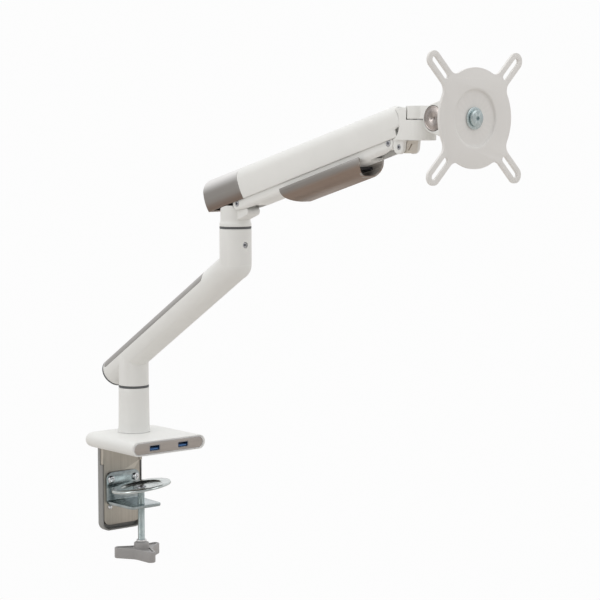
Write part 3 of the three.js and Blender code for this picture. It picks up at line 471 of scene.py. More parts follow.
def powderCoat(name, colour, gloss=0.42):
    paint = Paint(name)
    grain = paint.noise(1500, 2)
    clouds = paint.noise(22, 3)
    fine = paint.noise(5200, 1)
    mottled = paint.blend(clouds.between(0.3, 0.7), shade(colour, 0.975), colour)
    # painted highlight: the outer edges are lightened
    edgeLit = paint.blend(paint.edgeHighlight() * 0.35, mottled, shade(colour, 1.04))
    rough = gloss - 0.05 + clouds * 0.07 + fine * 0.05
    return paint.finish(edgeLit, rough, 0.0, paint.bump(grain + fine * 0.4, 0.16, 0.00012),
                        Coat_Weight=0.12, Coat_Roughness=0.25)


def moulded(name, colour, gloss=0.5, depth=0.2):
    paint = Paint(name)
    grain = paint.noise(2600, 3)
    clouds = paint.noise(40, 2)
    mottled = paint.blend(clouds, shade(colour, 0.9), shade(colour, 1.08))
    # painted highlight: the outer edges are lightened
    edgeLit = paint.blend(paint.edgeHighlight() * 0.4, mottled, shade(colour, 1.5))
    return paint.finish(edgeLit, gloss - 0.06 + grain * 0.12, 0.0, paint.bump(grain, depth, 0.0001))


def brushed(name, dark, light, along=(1, 0.02, 1), tilt=0.0, rough=0.34, contrast=0.5, shadeBands=()):
    # shade bands are painted shade across the lean, each two heights in mm and the colour multiplied in
    # between them
    paint = Paint(name)
    lines = paint.noise(1, 4, paint.stretched(tuple(3200 * part for part in along), tilt), 0.65)
    bands = paint.noise(1, 2, paint.stretched(tuple(420 * part for part in along), tilt))
    smears = paint.noise(30, 3)
    share = (lines - 0.5) * contrast + bands * 0.35 + smears * 0.3 + 0.18
    grey = paint.blend(share.between(0.15, 0.95), dark, light)
    if shadeBands:
        lift = paint.vector("DOT_PRODUCT", paint.place, (0, sin(tilt), cos(tilt)), "Value")
        rise = lift * 1000 - (linkRear[1] * cos(tilt) - linkRear[0] * sin(tilt))
    # painted shade: each band darkens or warms the colour below its heights
    for low, high, colour in shadeBands:
        grey = paint.node("ShaderNodeMix", {"data_type": "RGBA", "blend_type": "MULTIPLY"},
                          {0: rise.between(low, high), 6: grey, 7: colour}, output=2)
    # painted highlight: the outer edges are lightened
    edgeLit = paint.blend(paint.edgeHighlight(0.56, 0.72) * 0.5, grey, shade(light, 1.2))
    return paint.finish(edgeLit, rough - 0.06 + lines * 0.14 + smears * 0.05, 1.0,
                        paint.bump(lines, 0.12, 0.00008), Anisotropic=0.45)


def plated(name, dark, light, rough=0.2, grainSize=260, metal=1.0):
    paint = Paint(name)
    spangle = paint.node("ShaderNodeTexVoronoi", {"feature": "SMOOTH_F1"},
                         {"Vector": paint.place, "Scale": grainSize, "Smoothness": 0.6})
    clouds = paint.noise(55, 4)
    fine = paint.noise(1900, 3)
    share = spangle * 0.25 + clouds * 0.7
    mottled = paint.blend(share.between(0.05, 0.85), dark, light)
    # painted highlight: the outer edges are lightened
    edgeLit = paint.blend(paint.edgeHighlight() * 0.6, mottled, shade(light, 1.2))
    return paint.finish(edgeLit, rough - 0.05 + clouds * 0.1 + fine * 0.05, metal,
                        paint.bump(fine + clouds * 0.4, 0.06, 0.00006))


def machined(name, colour, kind, at, rough=0.24):  # turned metal with fine rings about its own axis, and a painted two-lobed highlight
    paint = Paint(name)
    centre = spot(at)
    flat = {"across": (0, 1, 1), "forward": (1, 0, 1), "up": (1, 1, 0)}[kind]
    spread = paint.vector("MULTIPLY", paint.vector("SUBTRACT", paint.place, centre), flat)
    reach = paint.vector("LENGTH", spread, output="Value")
    rings = paint.node("ShaderNodeTexNoise", {"noise_dimensions": "1D"}, {"W": reach * 9000, "Detail": 2.0})
    smears = paint.noise(180, 3)
    # painted highlight: a two-lobed sheen across the turned face, fixed to the part
    highlightLine = paint.vector("DOT_PRODUCT", spread, (0, -0.5, 0.86), "Value")
    twoLobeHighlight = paint.node("ShaderNodeMath", {"operation": "ABSOLUTE"}, {0: highlightLine / (reach + 0.0005)})
    share = rings * 0.25 + smears * 0.25 + twoLobeHighlight.between(0.5, 0.95) * 0.5
    grey = paint.blend(share, shade(colour, 0.55), shade(colour, 1.6))
    return paint.finish(grey, rough - 0.05 + rings * 0.12 + smears * 0.06, 1.0,
                        paint.bump(rings, 0.25, 0.0001))


white = tone(234, 234, 231)
finishes = {
    "white": powderCoat("satinWhite", white),
    "white_steel": powderCoat("warmWhite", tone(230, 228, 225), 0.5),
    "dark_plastic": moulded("darkGrey", tone(92, 94, 96), 0.5),
    "aluminium": brushed("brushedAluminium", tone(150, 144, 139), tone(205, 200, 195), tilt=armPitch),
    "taupe_steel": brushed("taupeSteel", tone(172, 167, 157), tone(212, 207, 198), (1, 1, 0.03),
                           0, 0.38, 0.3),
    "cover_grey": moulded("coverGrey", tone(146, 146, 144), 0.42, 0.15),
    "zinc": plated("blueZinc", tone(176, 190, 192), tone(214, 224, 225), 0.22),
    "steel": plated("brightSteel", tone(160, 162, 166), tone(206, 207, 211), 0.24, 700),
    "chrome": plated("polishedChrome", tone(205, 207, 210), tone(240, 241, 243), 0.1, 120),
    "knob_grey": moulded("silverLacquer", tone(163, 161, 160), 0.36, 0.25),
    "black_rubber": moulded("blackRubber", tone(42, 43, 45), 0.75, 0.5),
    "black_plastic": moulded("blackPlastic", tone(46, 47, 50), 0.5),
    "blue_plastic": moulded("bluePlastic", tone(52, 96, 148), 0.4),
    "bronze": plated("bushBronze", tone(150, 112, 60), tone(196, 158, 98), 0.4, 900),
    "board": moulded("boardGreen", tone(36, 92, 58), 0.4),
}
for node, solid in frame["nodes"].items():
    solid.data.materials.clear()
    solid.data.materials.append(finishes[slotOf[node]])
print("finishes made:", len(finishes))


def show(piece, name, *nodes, finish=None, sharp=40):
    piece.name = name
    piece.data.name = name
    for face in piece.data.polygons:
        face.use_smooth = True
    piece.data.set_sharp_from_angle(angle=radians(sharp))
    piece.data.materials.clear()
    piece.data.materials.append(finish or finishes[slotOf[nodes[0]]])
    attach(piece, homeOf[nodes[0]])
    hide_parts(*nodes)
    return piece


# Base slab with its charging panel
base = {
    "rim": 0.3, "corner": 14, "frontEase": 0.9, "panelHalf": 45.6, "panelFrom": 2.4, "panelTo": 13.8,
    "bezel": 1.1, "panelDepth": 1.6, "portApart": 38, "portUp": 7.8, "portHalf": (6.9, 3.2), "portDeep": 14,
}


def makeBase(size):
    (left, right), (back, front), (_, top) = span("base_cover")
    half = (right - left) / 2
    low = size["rim"]
    bulge = (top - low) / 2
    rings = []
    for step in range(19):
        angle = radians(-90 + 10 * step)
        inset = bulge * (1 - cos(angle))
        up = low + bulge + bulge * sin(angle)
        wide, rear, corner = half - inset, back + inset, size["corner"] - inset
        outline = [(wide, front), (wide, rear + corner)]
        outline += arc(wide - corner, rear + corner, corner, 0, -90, 12)
        outline += arc(-wide + corner, rear + corner, corner, -90, -180, 12) + [(-wide, front)]
        rings.append([(a, b, up) for a, b in outline])
    slab = soften(loft(rings), size["frontEase"], 4, 50)

    middle = (size["panelFrom"] + size["panelTo"]) / 2
    tall = (size["panelTo"] - size["panelFrom"]) / 2

    def pill(grow):
        return roundRect(-size["panelHalf"] - grow, size["panelHalf"] + grow, middle - tall - grow,
                         middle + tall + grow, tall + grow - 0.01, 16)

    floor = front - size["panelDepth"]
    wide, high = size["portHalf"]
    ports = [-size["portApart"] / 2, size["portApart"] / 2]

    def port(x, grow, start, end):
        return prism(roundRect(x - wide - grow, x + wide + grow, size["portUp"] - high - grow,
                               size["portUp"] + high + grow, 0.7, 4), "section", start, end)

    cut(slab, prism(pill(size["bezel"] + 0.15), "section", floor, front + 1),
        *(port(x, 0.3, front - size["portDeep"] - 0.3, front + 1) for x in ports))
    show(slab, "slab", "base_cover")
    panel = soften(prism(pill(0.1), "section", floor + 0.3, front - 0.25), 0.15, 2)
    cut(panel, *(port(x, 0.2, floor - 1, front + 1) for x in ports))
    face = brushed("panelMetal", tone(172, 166, 161), tone(196, 190, 185), (0.02, 1, 1), 0, 0.42, 0.3)
    show(panel, "chargePanel", "usb_panel", finish=face)
    rim = cut(prism(pill(size["bezel"]), "section", floor + 0.3, front),
              prism(pill(0.2), "section", floor - 1, front + 1))
    show(soften(rim, 0.3, 3), "panelRim", "panel_bezel")
    for x, side in zip(ports, ("left", "right")):
        mouth = cut(port(x, 0, front - size["portDeep"], front - 0.4),
                    port(x, -0.5, front - size["portDeep"] + 1.5, front + 1))
        show(soften(mouth, 0.12, 2), "portShell" + side.title(), "usb_socket_" + side)
        tongue = block(*span("usb_tongue_" + side))
        show(soften(tongue, 0.25, 2), "portTongue" + side.title(), "usb_tongue_" + side)


makeBase(base)
print("base made")


# Post, rings and lower arm
post = {"foot": 18.4, "flare": 17.25, "flareUp": 8, "radius": 16.9, "ringInner": 9}


def makePost(size):
    foot, top = heights("post")
    wide, flare, radius = size["foot"], size["flare"], size["radius"]
    profile = [(0, foot), (wide, foot)]
    profile += bend((wide, foot), (flare + 0.25, foot + 2.6), (flare, foot + size["flareUp"]), 8)[1:]
    profile += [(radius, top - 9), (radius, top - 0.5), (radius - 0.15, top - 0.12), (radius - 0.5, top)]
    profile += [(0, top)]
    show(turned(profile, steps=96), "postColumn", "post")
    for node, name in (("post_ring", "postRing"), ("elbow_ring", "elbowRing")):
        (left, right), (rear, fore), (low, high) = span(node)
        band = ring(size["ringInner"], (right - left) / 2 - 0.05, low, high, at=(0, (rear + fore) / 2))
        show(band, name, node)


lowerArm = {
    "tube": 16.2, "hub": 16.6, "rise": 31.3, "axisUp": 100.8, "tail": 41,
    "coverFrom": -39, "coverTo": 175, "coverHalf": 74, "coverThick": 2.2, "coverCorner": 5, "gap": 0.3,
    "screwUp": 234, "screwRadius": 3,
}


def coverRings(size, grow, outer, inner):  # a curved strip with rounded corners, along the limb
    start, end = size["coverFrom"] - grow, size["coverTo"] + grow
    perDegree = pi * size["tube"] / 180
    corner = size["coverCorner"]
    stations = [0, 0.05, 0.15, 0.3, 0.5, 0.75, 1]
    places = [(start + corner * s, s) for s in stations] + [(end - corner * s, s) for s in reversed(stations)]
    rings = []
    for along, s in places:
        inset = corner * (1 - sqrt(1 - (1 - s) ** 2)) / perDegree
        half = size["coverHalf"] + grow / perDegree - inset
        section = arc(0, 0, outer, 90 - half, 90 + half, 36) + arc(0, 0, inner, 90 + half, 90 - half, 36)
        rings.append([(a, along, b) for a, b in section])
    return rings


def makeLowerArm(size):
    rise = radians(size["rise"])
    at = (0, size["axisUp"])
    high = heights("lower_arm")[1]
    bottom = heights("post_ring")[1] + size["gap"]
    elbowUp = size["axisUp"] + elbowForward * tan(rise)
    reach = elbowForward / cos(rise)
    tube, hub = size["tube"], size["hub"]
    body = lean(rod(tube, -size["tail"], reach, "forward", steps=96, ease=0.4), rise, at)
    ball = turned([(hub * sin(radians(a)) - (0 if a in (0, 180) else 0.02), elbowUp - hub * cos(radians(a)))
                   for a in range(0, 181, 5)], at=(0, elbowForward), steps=96)
    neck = turned(eased([(0, elbowUp), (hub, elbowUp), (hub, high), (0, high)], 0.5, 4, False),
                  at=(0, elbowForward), steps=96)
    foot = [(0, bottom), (hub, bottom), (hub, size["axisUp"]), (0, size["axisUp"])]
    foot = turned(eased(foot, 0.5, 4, False), steps=96)
    join(body, ball, neck, foot)
    seat = lean(loft(coverRings(size, size["gap"] / 2, tube + 2, tube - size["coverThick"])), rise, at)
    screwAt = (0, size["screwUp"])
    screw = rod(size["screwRadius"] + 0.3, elbowForward + 11, elbowForward + 20, "forward", screwAt)
    cut(body, seat, screw)
    show(body, "lowerArmTube", "lower_arm", sharp=32)

    cover = loft(coverRings(size, -size["gap"] / 2, tube, tube - size["coverThick"] + 0.3))
    cover = lean(soften(cover, 0.35, 3, 50), rise, at)
    metal = brushed("coverMetal", tone(142, 139, 136), tone(196, 193, 190), tilt=rise)
    show(cover, "liftOffCover", "cable_cover", finish=metal)
    end = -size["tail"] - 0.3
    cap = turned([(0, end), (tube - 0.2, end), (tube, end - 0.3), (tube, end - 1.9), (tube - 0.7, end - 2.5),
                  (tube - 2.4, end - 2.7), (tube - 3.2, end - 2.3), (0, end - 2.3)], "forward", steps=96)
    show(lean(cap, rise, at), "tailDisc", "tail_cap")
    grub = cut(
        rod(size["screwRadius"], elbowForward + 11.3, elbowForward + 15.4, "forward", screwAt, 48, 0.4),
        rod(1.5, elbowForward + 13, elbowForward + 18, "forward", screwAt, 6))
    show(grub, "elbowGrubScrew", "elbow_set_screw")


makePost(post)
makeLowerArm(lowerArm)
print("post and lower arm made")


# Clamp
clamp = {
    "plateHalf": 24.5, "plateBottom": -92, "plateFront": -24.5, "plateThick": 4, "corner": 7,
    "earDrop": -22.5, "earReach": 27, "screwHole": 2.3, "spindleHole": 4.3,
    "rivet": (16.7, -71.5), "screw": (16.5, -40.2), "coverCorner": 10, "coverWall": 1.7,
    "flangeHalf": 22.5, "flangeTop": -31.8, "flangeFront": -22.1, "shelfTop": -64, "shelfThick": 3.2,
    "shelfForward": 24.8, "spindle": 4, "pitch": 1.25, "depth": 0.45,
}


def makeClampFrame(size):
    half, bottom, front = size["plateHalf"], size["plateBottom"], size["plateFront"]
    (left, right), (_, fore), (_, top) = span("clamp_frame")
    corner = size["corner"]
    leaf = arc(-half + corner, bottom + corner, corner, 180, 270, 10)
    leaf += arc(half - corner, bottom + corner, corner, 270, 360, 10) + [(half, top), (-half, top)]
    plate = soften(prism(leaf, "section", front - size["plateThick"], front), 0.35, 3)
    ears = [block(sorted((side * (half - 1), side * size["earReach"])), (front - 3, front + 1.2),
                  (size["earDrop"], top)) for side in (-1, 1)]
    ears = [soften(ear, 0.4, 3) for ear in ears]
    join(plate, *ears, block((left, right), (front - size["plateThick"], fore), (1.9, top)))
    bores = [rod(size["screwHole"], front - 6, front + 3, "forward", (side * x, z), 32)
             for x, z in (size["rivet"], size["screw"]) for side in (-1, 1)]
    show(cut(plate, *bores), "clampPlate", "clamp_frame")


def makeClampCover(size):
    (_, half), (back, front), (bottom, top) = span("clamp_cover")
    corner = size["coverCorner"]

    def tray(shrink, start, end):
        wide, low, turn = half - shrink, bottom + shrink, corner - shrink
        upper = top if not shrink else top + 2
        shape = arc(-wide + turn, low + turn, turn, 180, 270, 12)
        shape += arc(wide - turn, low + turn, turn, 270, 360, 12)
        return prism(shape + [(wide, upper), (-wide, upper)], "section", start, end)

    shell = soften(tray(0, back, front), 1.1, 4)
    relief = block((-29, 29), (size["plateFront"] - 3.5, size["plateFront"] + 3), (size["earDrop"] - 0.4, 4))
    cut(shell, tray(size["coverWall"], back + size["coverWall"], front + 3), relief)
    show(shell, "clampBackCover", "clamp_cover")


def makeBracket(size):
    half, top, thick = size["flangeHalf"], size["flangeTop"], size["shelfThick"]
    front, back = size["flangeFront"], size["plateFront"] + 0.3
    shelf, fore = size["shelfTop"], size["shelfForward"]
    low = shelf - thick
    fold = arc(back + 4, low + 4, 4, 180, 270, 8) + [(fore, low), (fore, shelf)]
    fold += arc(front + 1.6, shelf + 1.6, 1.6, 270, 180, 6) + [(front, top), (back, top)]
    sheet = prism(fold, "side", -half, half)
    upright = arc(half - 8, top - 8, 8, 0, 90, 10) + arc(-half + 8, top - 8, 8, 90, 180, 10)
    upright = prism(upright + [(-half, low - 1), (half, low - 1)], "section", back - 1, fore + 1)
    flat = arc(-half + 8, fore - 6, 6, 180, 90, 10)[::-1] + [(-half, back - 1), (half, back - 1)]
    flat = prism(arc(half - 8, fore - 6, 6, 0, 90, 10) + flat, "plan", low - 1, top + 1)
    within(sheet, upright, flat)
    soften(sheet, 0.45, 3)
    x, z = size["screw"]
    bores = [rod(size["screwHole"], back - 2, front + 2, "forward", (side * x, z), 32)
             for side in (-1, 1)]
    cut(sheet, rod(size["spindleHole"], low - 2, shelf + 2, at=(0, discAt[0])), *bores)
    # painted shade: a darker copy of the zinc finish, for the dimmer light on the bracket's front
    shadedZinc = plated("shadedZinc", tone(132, 141, 144), tone(190, 200, 202), 0.18)
    show(sheet, "jawBracket", "clamp_bracket", finish=shadedZinc)
    for side, hand in ((-1, "left"), (1, "right")):
        at = (side * x, z)
        pan = [(0, back - 3), (2, back - 3), (2, front + 0.3), (4.4, front + 0.3), (4.4, front + 0.9)]
        pan += bend((4.4, front + 0.9), (4.1, front + 2.1), (2.6, front + 2.4), 6)[1:] + [(0, front + 2.4)]
        head = turned(pan, "forward", at, 48)
        for bar in (((-2.1, 2.1), (-0.5, 0.5)), ((-0.5, 0.5), (-2.1, 2.1))):
            (x0, x1), (z0, z1) = bar
            cut(head, block((at[0] + x0, at[0] + x1), (front + 1.1, front + 4), (at[1] + z0, at[1] + z1)))
        show(head, "bracketScrew" + hand.title(), "bracket_screw_" + hand)
        rivetX, rivetZ = size["rivet"]
        face = size["plateFront"] + 0.2
        dome = [(0, face - 4), (2, face - 4), (2, face), (3, face)]
        dome += bend((3, face), (2.8, face + 1.6), (0, face + 1.7), 8)[1:]
        rivet = turned(dome, "forward", (side * rivetX, rivetZ), 40)
        show(rivet, "plateRivet" + hand.title(), "frame_rivet_" + hand)


def makeScrew(size):
    at = (0, discAt[0])
    low, high = heights("clamp_spindle")
    radius, pitch, around = size["spindle"], size["pitch"], 32
    rows = int((high - low) / pitch * 8)
    rings = []
    for row in range(rows + 1):
        up = low + (high - low) * row / rows
        line = []
        for step in range(around):
            phase = (up / pitch - step / around) % 1
            reach = radius - size["depth"] * abs(2 * phase - 1) ** 1.5
            fade = min(1, (up - low) / 1.2, (high - up) / 1.2)
            reach -= (1 - fade) * 0.7
            angle = 2 * pi * step / around
            line.append((at[0] + reach * cos(angle), at[1] + reach * sin(angle), up))
        rings.append(line)
    show(loft(rings), "clampThread", "clamp_spindle", sharp=75)
    low, high = heights("spindle_collar")
    show(ring(4.3, 5.6, low, high, at=at, ease=0.5), "thrustCollar", "spindle_collar")


knob = {
    "lobeReach": 25.2, "lobeTip": 5.2, "waist": 12.5, "heading": 18.7, "hub": 8.4, "ease": 1.0,
    "pocket": 1.2, "top": -113.5, "bore": 4.3, "boreFrom": -120.3,
}


def makeKnob(size):
    low, high = heights("clamp_knob")
    top = size["top"]
    middle = discAt[0]

    def star(shrink):
        line = []
        for lobe in range(3):
            heading = size["heading"] + 120 * lobe
            turn = radians(heading)
            # headings turn the other way, because forward is -Y
            tip = (size["lobeReach"] * cos(turn), -size["lobeReach"] * sin(turn))
            line += arc(*tip, size["lobeTip"] - shrink, -heading + 75, -heading - 75, 12)
            valley = radians(-heading - 60)
            reach = size["waist"] - shrink * 1.5
            side = 0.28
            line += bend((reach * 1.08 * cos(valley + side), reach * 1.08 * sin(valley + side)),
                         (reach * 0.98 * cos(valley), reach * 0.98 * sin(valley)),
                         (reach * 1.08 * cos(valley - side), reach * 1.08 * sin(valley - side)), 6)
        return [(a, b + middle) for a, b in line]

    body = soften(prism(star(0.1), "plan", low, top), size["ease"], 4, 40)
    pocket = prism(star(2.4), "plan", top - size["pocket"], top + 2)
    keep = rod(size["hub"] + 1.2, top - 3, top + 3, at=(0, middle))
    cut(body, cut(pocket, keep))
    hub = turned(eased([(0, top - 4), (size["hub"] + 0.4, top - 4), (size["hub"], high - 1.2),
                        (size["hub"] - 1.8, high), (0, high)], 0.8, 4, False), at=(0, middle))
    join(body, hub)
    cut(body, rod(size["bore"], size["boreFrom"], high + 1, at=(0, middle)))
    show(body, "clampKnob", "clamp_knob", sharp=35)


disc = {"radius": 33.5, "lean": 8.5, "heading": 40}


def makeDisc(size):
    edge = size["radius"]
    heading = radians(size["heading"])
    axis = Vector((-sin(heading), -cos(heading), 0))
    tilt = Matrix.Translation(spot((0, *discAt))) @ Matrix.Rotation(radians(size["lean"]), 4, axis)
    dish = [(3.4, -3.6), (20.6, -3.6)] + bend((20.6, -3.6), (22.6, -3.4), (24.5, -0.9), 6)[1:]
    dish += [(edge - 1.6, -0.9), (edge - 1.4, -1.2), (edge - 1.4, -1.9), (edge - 1.0, -2.1)]
    dish += [(edge - 0.3, -2.1)]
    dish += bend((edge - 0.1, -1.9), (edge, -0.3), (edge - 0.7, 0.55), 5) + [(edge - 1.8, 0.9), (25.6, 0.9)]
    dish += bend((25.2, 0.9), (23.8, 0.8), (22.6, -0.6), 6)
    dish += bend((22.3, -1.0), (21.6, -1.75), (20.2, -1.8), 4)
    plate = turned(dish + [(3.4, -1.8)], steps=96)
    plate.data.transform(tilt)
    paleZinc = plated("paleZinc", tone(180, 188, 188), tone(220, 225, 223), 0.2)
    show(plate, "pressurePlate", "pressure_disc", finish=paleZinc, sharp=50)
    button = [(0, -3.9), (3, -3.9), (3, -1.6), (5.4, -1.6)]
    button += bend((5.4, -1.5), (5.3, -0.3), (3.6, -0.1), 6) + [(2.7, -0.25), (2.2, -0.75), (0, -0.8)]
    stud = turned(button, steps=48)
    stud.data.transform(tilt)
    show(stud, "plateStud", "disc_rivet")


makeClampFrame(clamp)
makeClampCover(clamp)
makeBracket(clamp)
makeScrew(clamp)
makeKnob(knob)
makeDisc(disc)
print("clamp made")


# Rear knuckle: neck, tongue with the spring's cam, and a nose under the link
rearKnuckle = {
    "hub": 16.5, "neck": 15.5, "neckTop": 274.4, "tongueHalf": 8.1, "camBase": 8, "camRise": 8, "drop": 55,
    "nose": 6, "noseEnd": 4.4,
}


def makeRearKnuckle(size):
    bottom, _ = heights("rear_knuckle")
    neck = size["neck"]
    profile = [(0, bottom), (size["hub"], bottom), (size["hub"], bottom + 2.6)]
    profile += bend((size["hub"], bottom + 2.8), (size["hub"] - 0.9, bottom + 4), (neck, bottom + 7.2), 8)
    body = turned(profile + [(neck, size["neckTop"]), (0, size["neckTop"])], at=(0, elbowForward), steps=96)
    slope = tan(armPitch)

    def edge(forward):
        return linkRear[1] + (forward - linkRear[0]) * slope + 1

    above = prism([(elbowForward - 20, edge(elbowForward - 20)), (elbowForward + 20, edge(elbowForward + 20)),
                   (elbowForward + 20, 300), (elbowForward - 20, 300)], "side", -20, 20)
    half = size["tongueHalf"]
    cut(body, above, rod(7.2, half, 20, "across", linkRear), rod(7.2, -20, -half, "across", linkRear))
    pitch = degrees(armPitch)
    cam = []
    for step in range(29):
        angle = pitch - size["drop"] + (size["drop"] + 6) * step / 28
        reach = size["camBase"] + size["camRise"] * (pitch - angle) / size["drop"]
        cam.append((liftPivot[0] + reach * cos(radians(angle)), liftPivot[1] + reach * sin(radians(angle))))
    cam += arc(*liftPivot, size["camBase"] - 0.9, pitch + 14, 180, 16)
    cam += [(liftPivot[0] - 9, 268), (liftPivot[0] + 6, 264)]
    tongue = soften(prism(cam, "side", -half, half), 0.4, 3, 50)
    nose = roundBar((elbowForward + 8, 264), (linkRear[0] + 10, 269), size["nose"], size["noseEnd"])
    nose = soften(prism(nose, "side", -half, half), 1.0, 4, 50)
    join(body, tongue, nose)
    cut(body, rod(pinHole, -20, 20, "across", linkRear), rod(liftHole, -20, 20, "across", liftPivot),
        rod(7.3, bottom - 1, 262.3, at=(0, elbowForward)))
    show(body, "rearKnuckle", "rear_knuckle", sharp=34)


# Upper arm: an arched shell in two lengths, made in the arm's own frame
housing = {
    "outer": 13.8, "inner": 11.5, "top": 36, "bottom": 2.2, "taper": 2.6, "length": 235.4, "tuck": 1.2,
    "seamTop": 9.5, "seamBend": 6.8, "seamTopUp": 41.3, "seamLow": 13.9, "seamLowUp": 0.1, "seamGap": 0.3,
    "endRadius": 17.8, "endReach": 14.2, "endNotch": 7, "tailWall": 6, "ease": 0.55,
    "tailLow": 0.2, "tailTurn": 30, "tailReach": (-45.6, -51, -47.4), "tailEase": 0.5,
    # painted shade on the rear cover: lighter along the top, greyer lower down, warmer near the bottom
    "coverShadeBands": ((33, 20, tone(178, 176, 174)), (14, 4, tone(216, 198, 187))),
}


def archLine(half, top, bottom, tuck, steps=24):
    shoulder = top - half
    side = bend((-half + tuck, bottom), (-half, bottom + 7), (-half, shoulder - 3), 10)
    crown = arc(0, shoulder, half, 180, 0, steps)
    return side + crown + [(-a, b) for a, b in reversed(side)]


def taper(u, v, size):
    share = max(0, v - size["bottom"]) / (size["top"] - size["bottom"])
    return v - size["taper"] * u / size["length"] * share


def makeShell(size, rearAt, frontAt, closedRear):
    outer = archLine(size["outer"], size["top"], size["bottom"], size["tuck"])
    wall = size["outer"] - size["inner"]
    inner = archLine(size["inner"], size["top"] - wall, size["bottom"], 0.02)
    stations = 14
    mesh = bmesh.new()

    def row(line, t, inset=0.0):
        made = []
        for x, v in line:
            u = (1 - t) * (rearAt(v) + inset) + t * frontAt(v)
            made.append(mesh.verts.new(spot((x, u, taper(u, v, size)))))
        return made

    ts = [step / stations for step in range(stations + 1)]
    skin = [row(outer, t) for t in ts]
    lining = [row(inner, t, size["tailWall"] if closedRear else 0) for t in ts]
    for rows in (skin, lining):
        for low, high in zip(rows, rows[1:]):
            for a, b, c, d in zip(low, low[1:], high[1:], high):
                mesh.faces.new((a, b, c, d))
    count = len(outer)
    for low, high in zip(range(stations), range(1, stations + 1)):
        for side in (0, count - 1):
            mesh.faces.new((skin[low][side], skin[high][side], lining[high][side], lining[low][side]))
    for index in range(count - 1):
        mesh.faces.new((skin[-1][index], skin[-1][index + 1], lining[-1][index + 1], lining[-1][index]))
        if not closedRear:
            mesh.faces.new((skin[0][index], skin[0][index + 1], lining[0][index + 1], lining[0][index]))
    if closedRear:
        for rows in (skin, lining):
            line = rows[0]
            for index in range(count // 2):
                corners = [line[index], line[index + 1], line[count - 2 - index], line[count - 1 - index]]
                distinct = list(dict.fromkeys(corners))
                if len(distinct) > 2:
                    mesh.faces.new(distinct)
        mesh.faces.new((skin[0][0], skin[0][-1], lining[0][-1], lining[0][0]))
    return solidFrom(mesh)


def makeUpperArm(size):
    shift = pivotRise * sin(armPitch), pivotRise * cos(armPitch)
    front = (size["length"] + shift[0], shift[1])

    def seam(v, gap):
        share = (size["seamTopUp"] - v) / (size["seamTopUp"] - size["seamLowUp"])
        straight = size["seamTop"] + (size["seamLow"] - size["seamTop"]) * share
        return straight + size["seamBend"] * (share ** 2 - share) + gap

    def nose(v):
        rise = v - front[1]
        if rise < -size["endNotch"]:
            return size["length"] + size["endReach"]
        return front[0] + sqrt(max(4.6 ** 2, size["endRadius"] ** 2 - rise ** 2))

    def tail(v):
        low, middle, high = size["tailReach"]
        turn = size["tailTurn"]
        if v < turn:
            t = (v - size["tailLow"]) / (turn - size["tailLow"])
            return (1 - t) ** 2 * low + 2 * t * (1 - t) * middle + t * t * high
        return high + 6.5 * ((v - turn) / 8) ** 2.2

    shell = makeShell(size, lambda v: seam(v, size["seamGap"] / 2), nose, False)
    show(onArm(soften(shell, size["ease"], 4, 45)), "armHousing", "arm_housing", sharp=50)
    cover = makeShell(size, tail, lambda v: seam(v, -size["seamGap"] / 2), True)
    metal = brushed("tailMetal", tone(228, 226, 224), tone(246, 245, 244), tilt=armPitch,
                    rough=0.28, contrast=0.35, shadeBands=size["coverShadeBands"])
    show(onArm(soften(cover, size["tailEase"], 4, 45)), "rearCover", "rear_cover", finish=metal, sharp=50)


link = {
    "half": 10.9, "inner": 8.4, "top": 6.5, "low": -8.8, "corner": 5, "eye": 6.5, "length": 235.4,
    "trayHalf": 16, "trayTop": -3.4, "trayLow": -21.4, "trayWall": 1.7, "trayCorner": 12,
    "clips": (100, 176), "pin": 3, "pinHalf": 11.3,
    # painted shade on the tray: greyed overall, warmer towards its bottom
    "trayShadeBands": ((30, -3, tone(172, 170, 168)), (-7, -13, tone(243, 224, 212))),
}


def channel(half, low, high, corner, steps=12):
    return (arc(-half + corner, low + corner, corner, 180, 270, steps)
            + arc(half - corner, low + corner, corner, 270, 360, steps) + [(half, high), (-half, high)])


def makeLink(size):
    far = size["length"]
    bar = prism(channel(size["half"], size["low"], size["top"] + 1, size["corner"]), "section", -20, far + 20)
    side = arc(0, 0, size["eye"], 110, 268, 24) + [(26, size["low"] - 0.02), (far - 14, size["low"] - 0.02)]
    side += arc(far, 0, size["eye"], -82, 70, 24) + [(far - 10, size["top"]), (10, size["top"])]
    within(bar, prism(side, "side", -20, 20))
    soften(bar, 0.5, 3, 40)
    wide = size["inner"]
    cut(bar, prism(channel(wide, size["low"] + 2.3, size["top"] + 5, 3), "section", -30, far + 30),
        block((-wide, wide), (-20, 28), (-20, 20)), block((-wide, wide), (205, 260), (-20, 20)),
        *(rod(2.3, -20, 0, at=(0, clip), steps=24) for clip in size["clips"]),
        rod(pinHole, -20, 20, "across", (0, 0)), rod(pinHole, -20, 20, "across", (far, 0)))
    show(onArm(bar), "parallelLink", "arm_link", sharp=34)
    for place, end in ((0, "rear"), (far, "front")):
        half = size["pinHalf"] - 0.2
        pin = rod(size["pin"], -half, half, "across", (place, 0), 48, 0.35)
        cut(pin, rod(1.7, half - 2, half + 2, "across", (place, 0), 6),
            rod(1.7, -half - 2, -half + 2, "across", (place, 0), 6))
        show(onArm(pin), "linkPin" + end.title(), "link_%s_pin" % end)


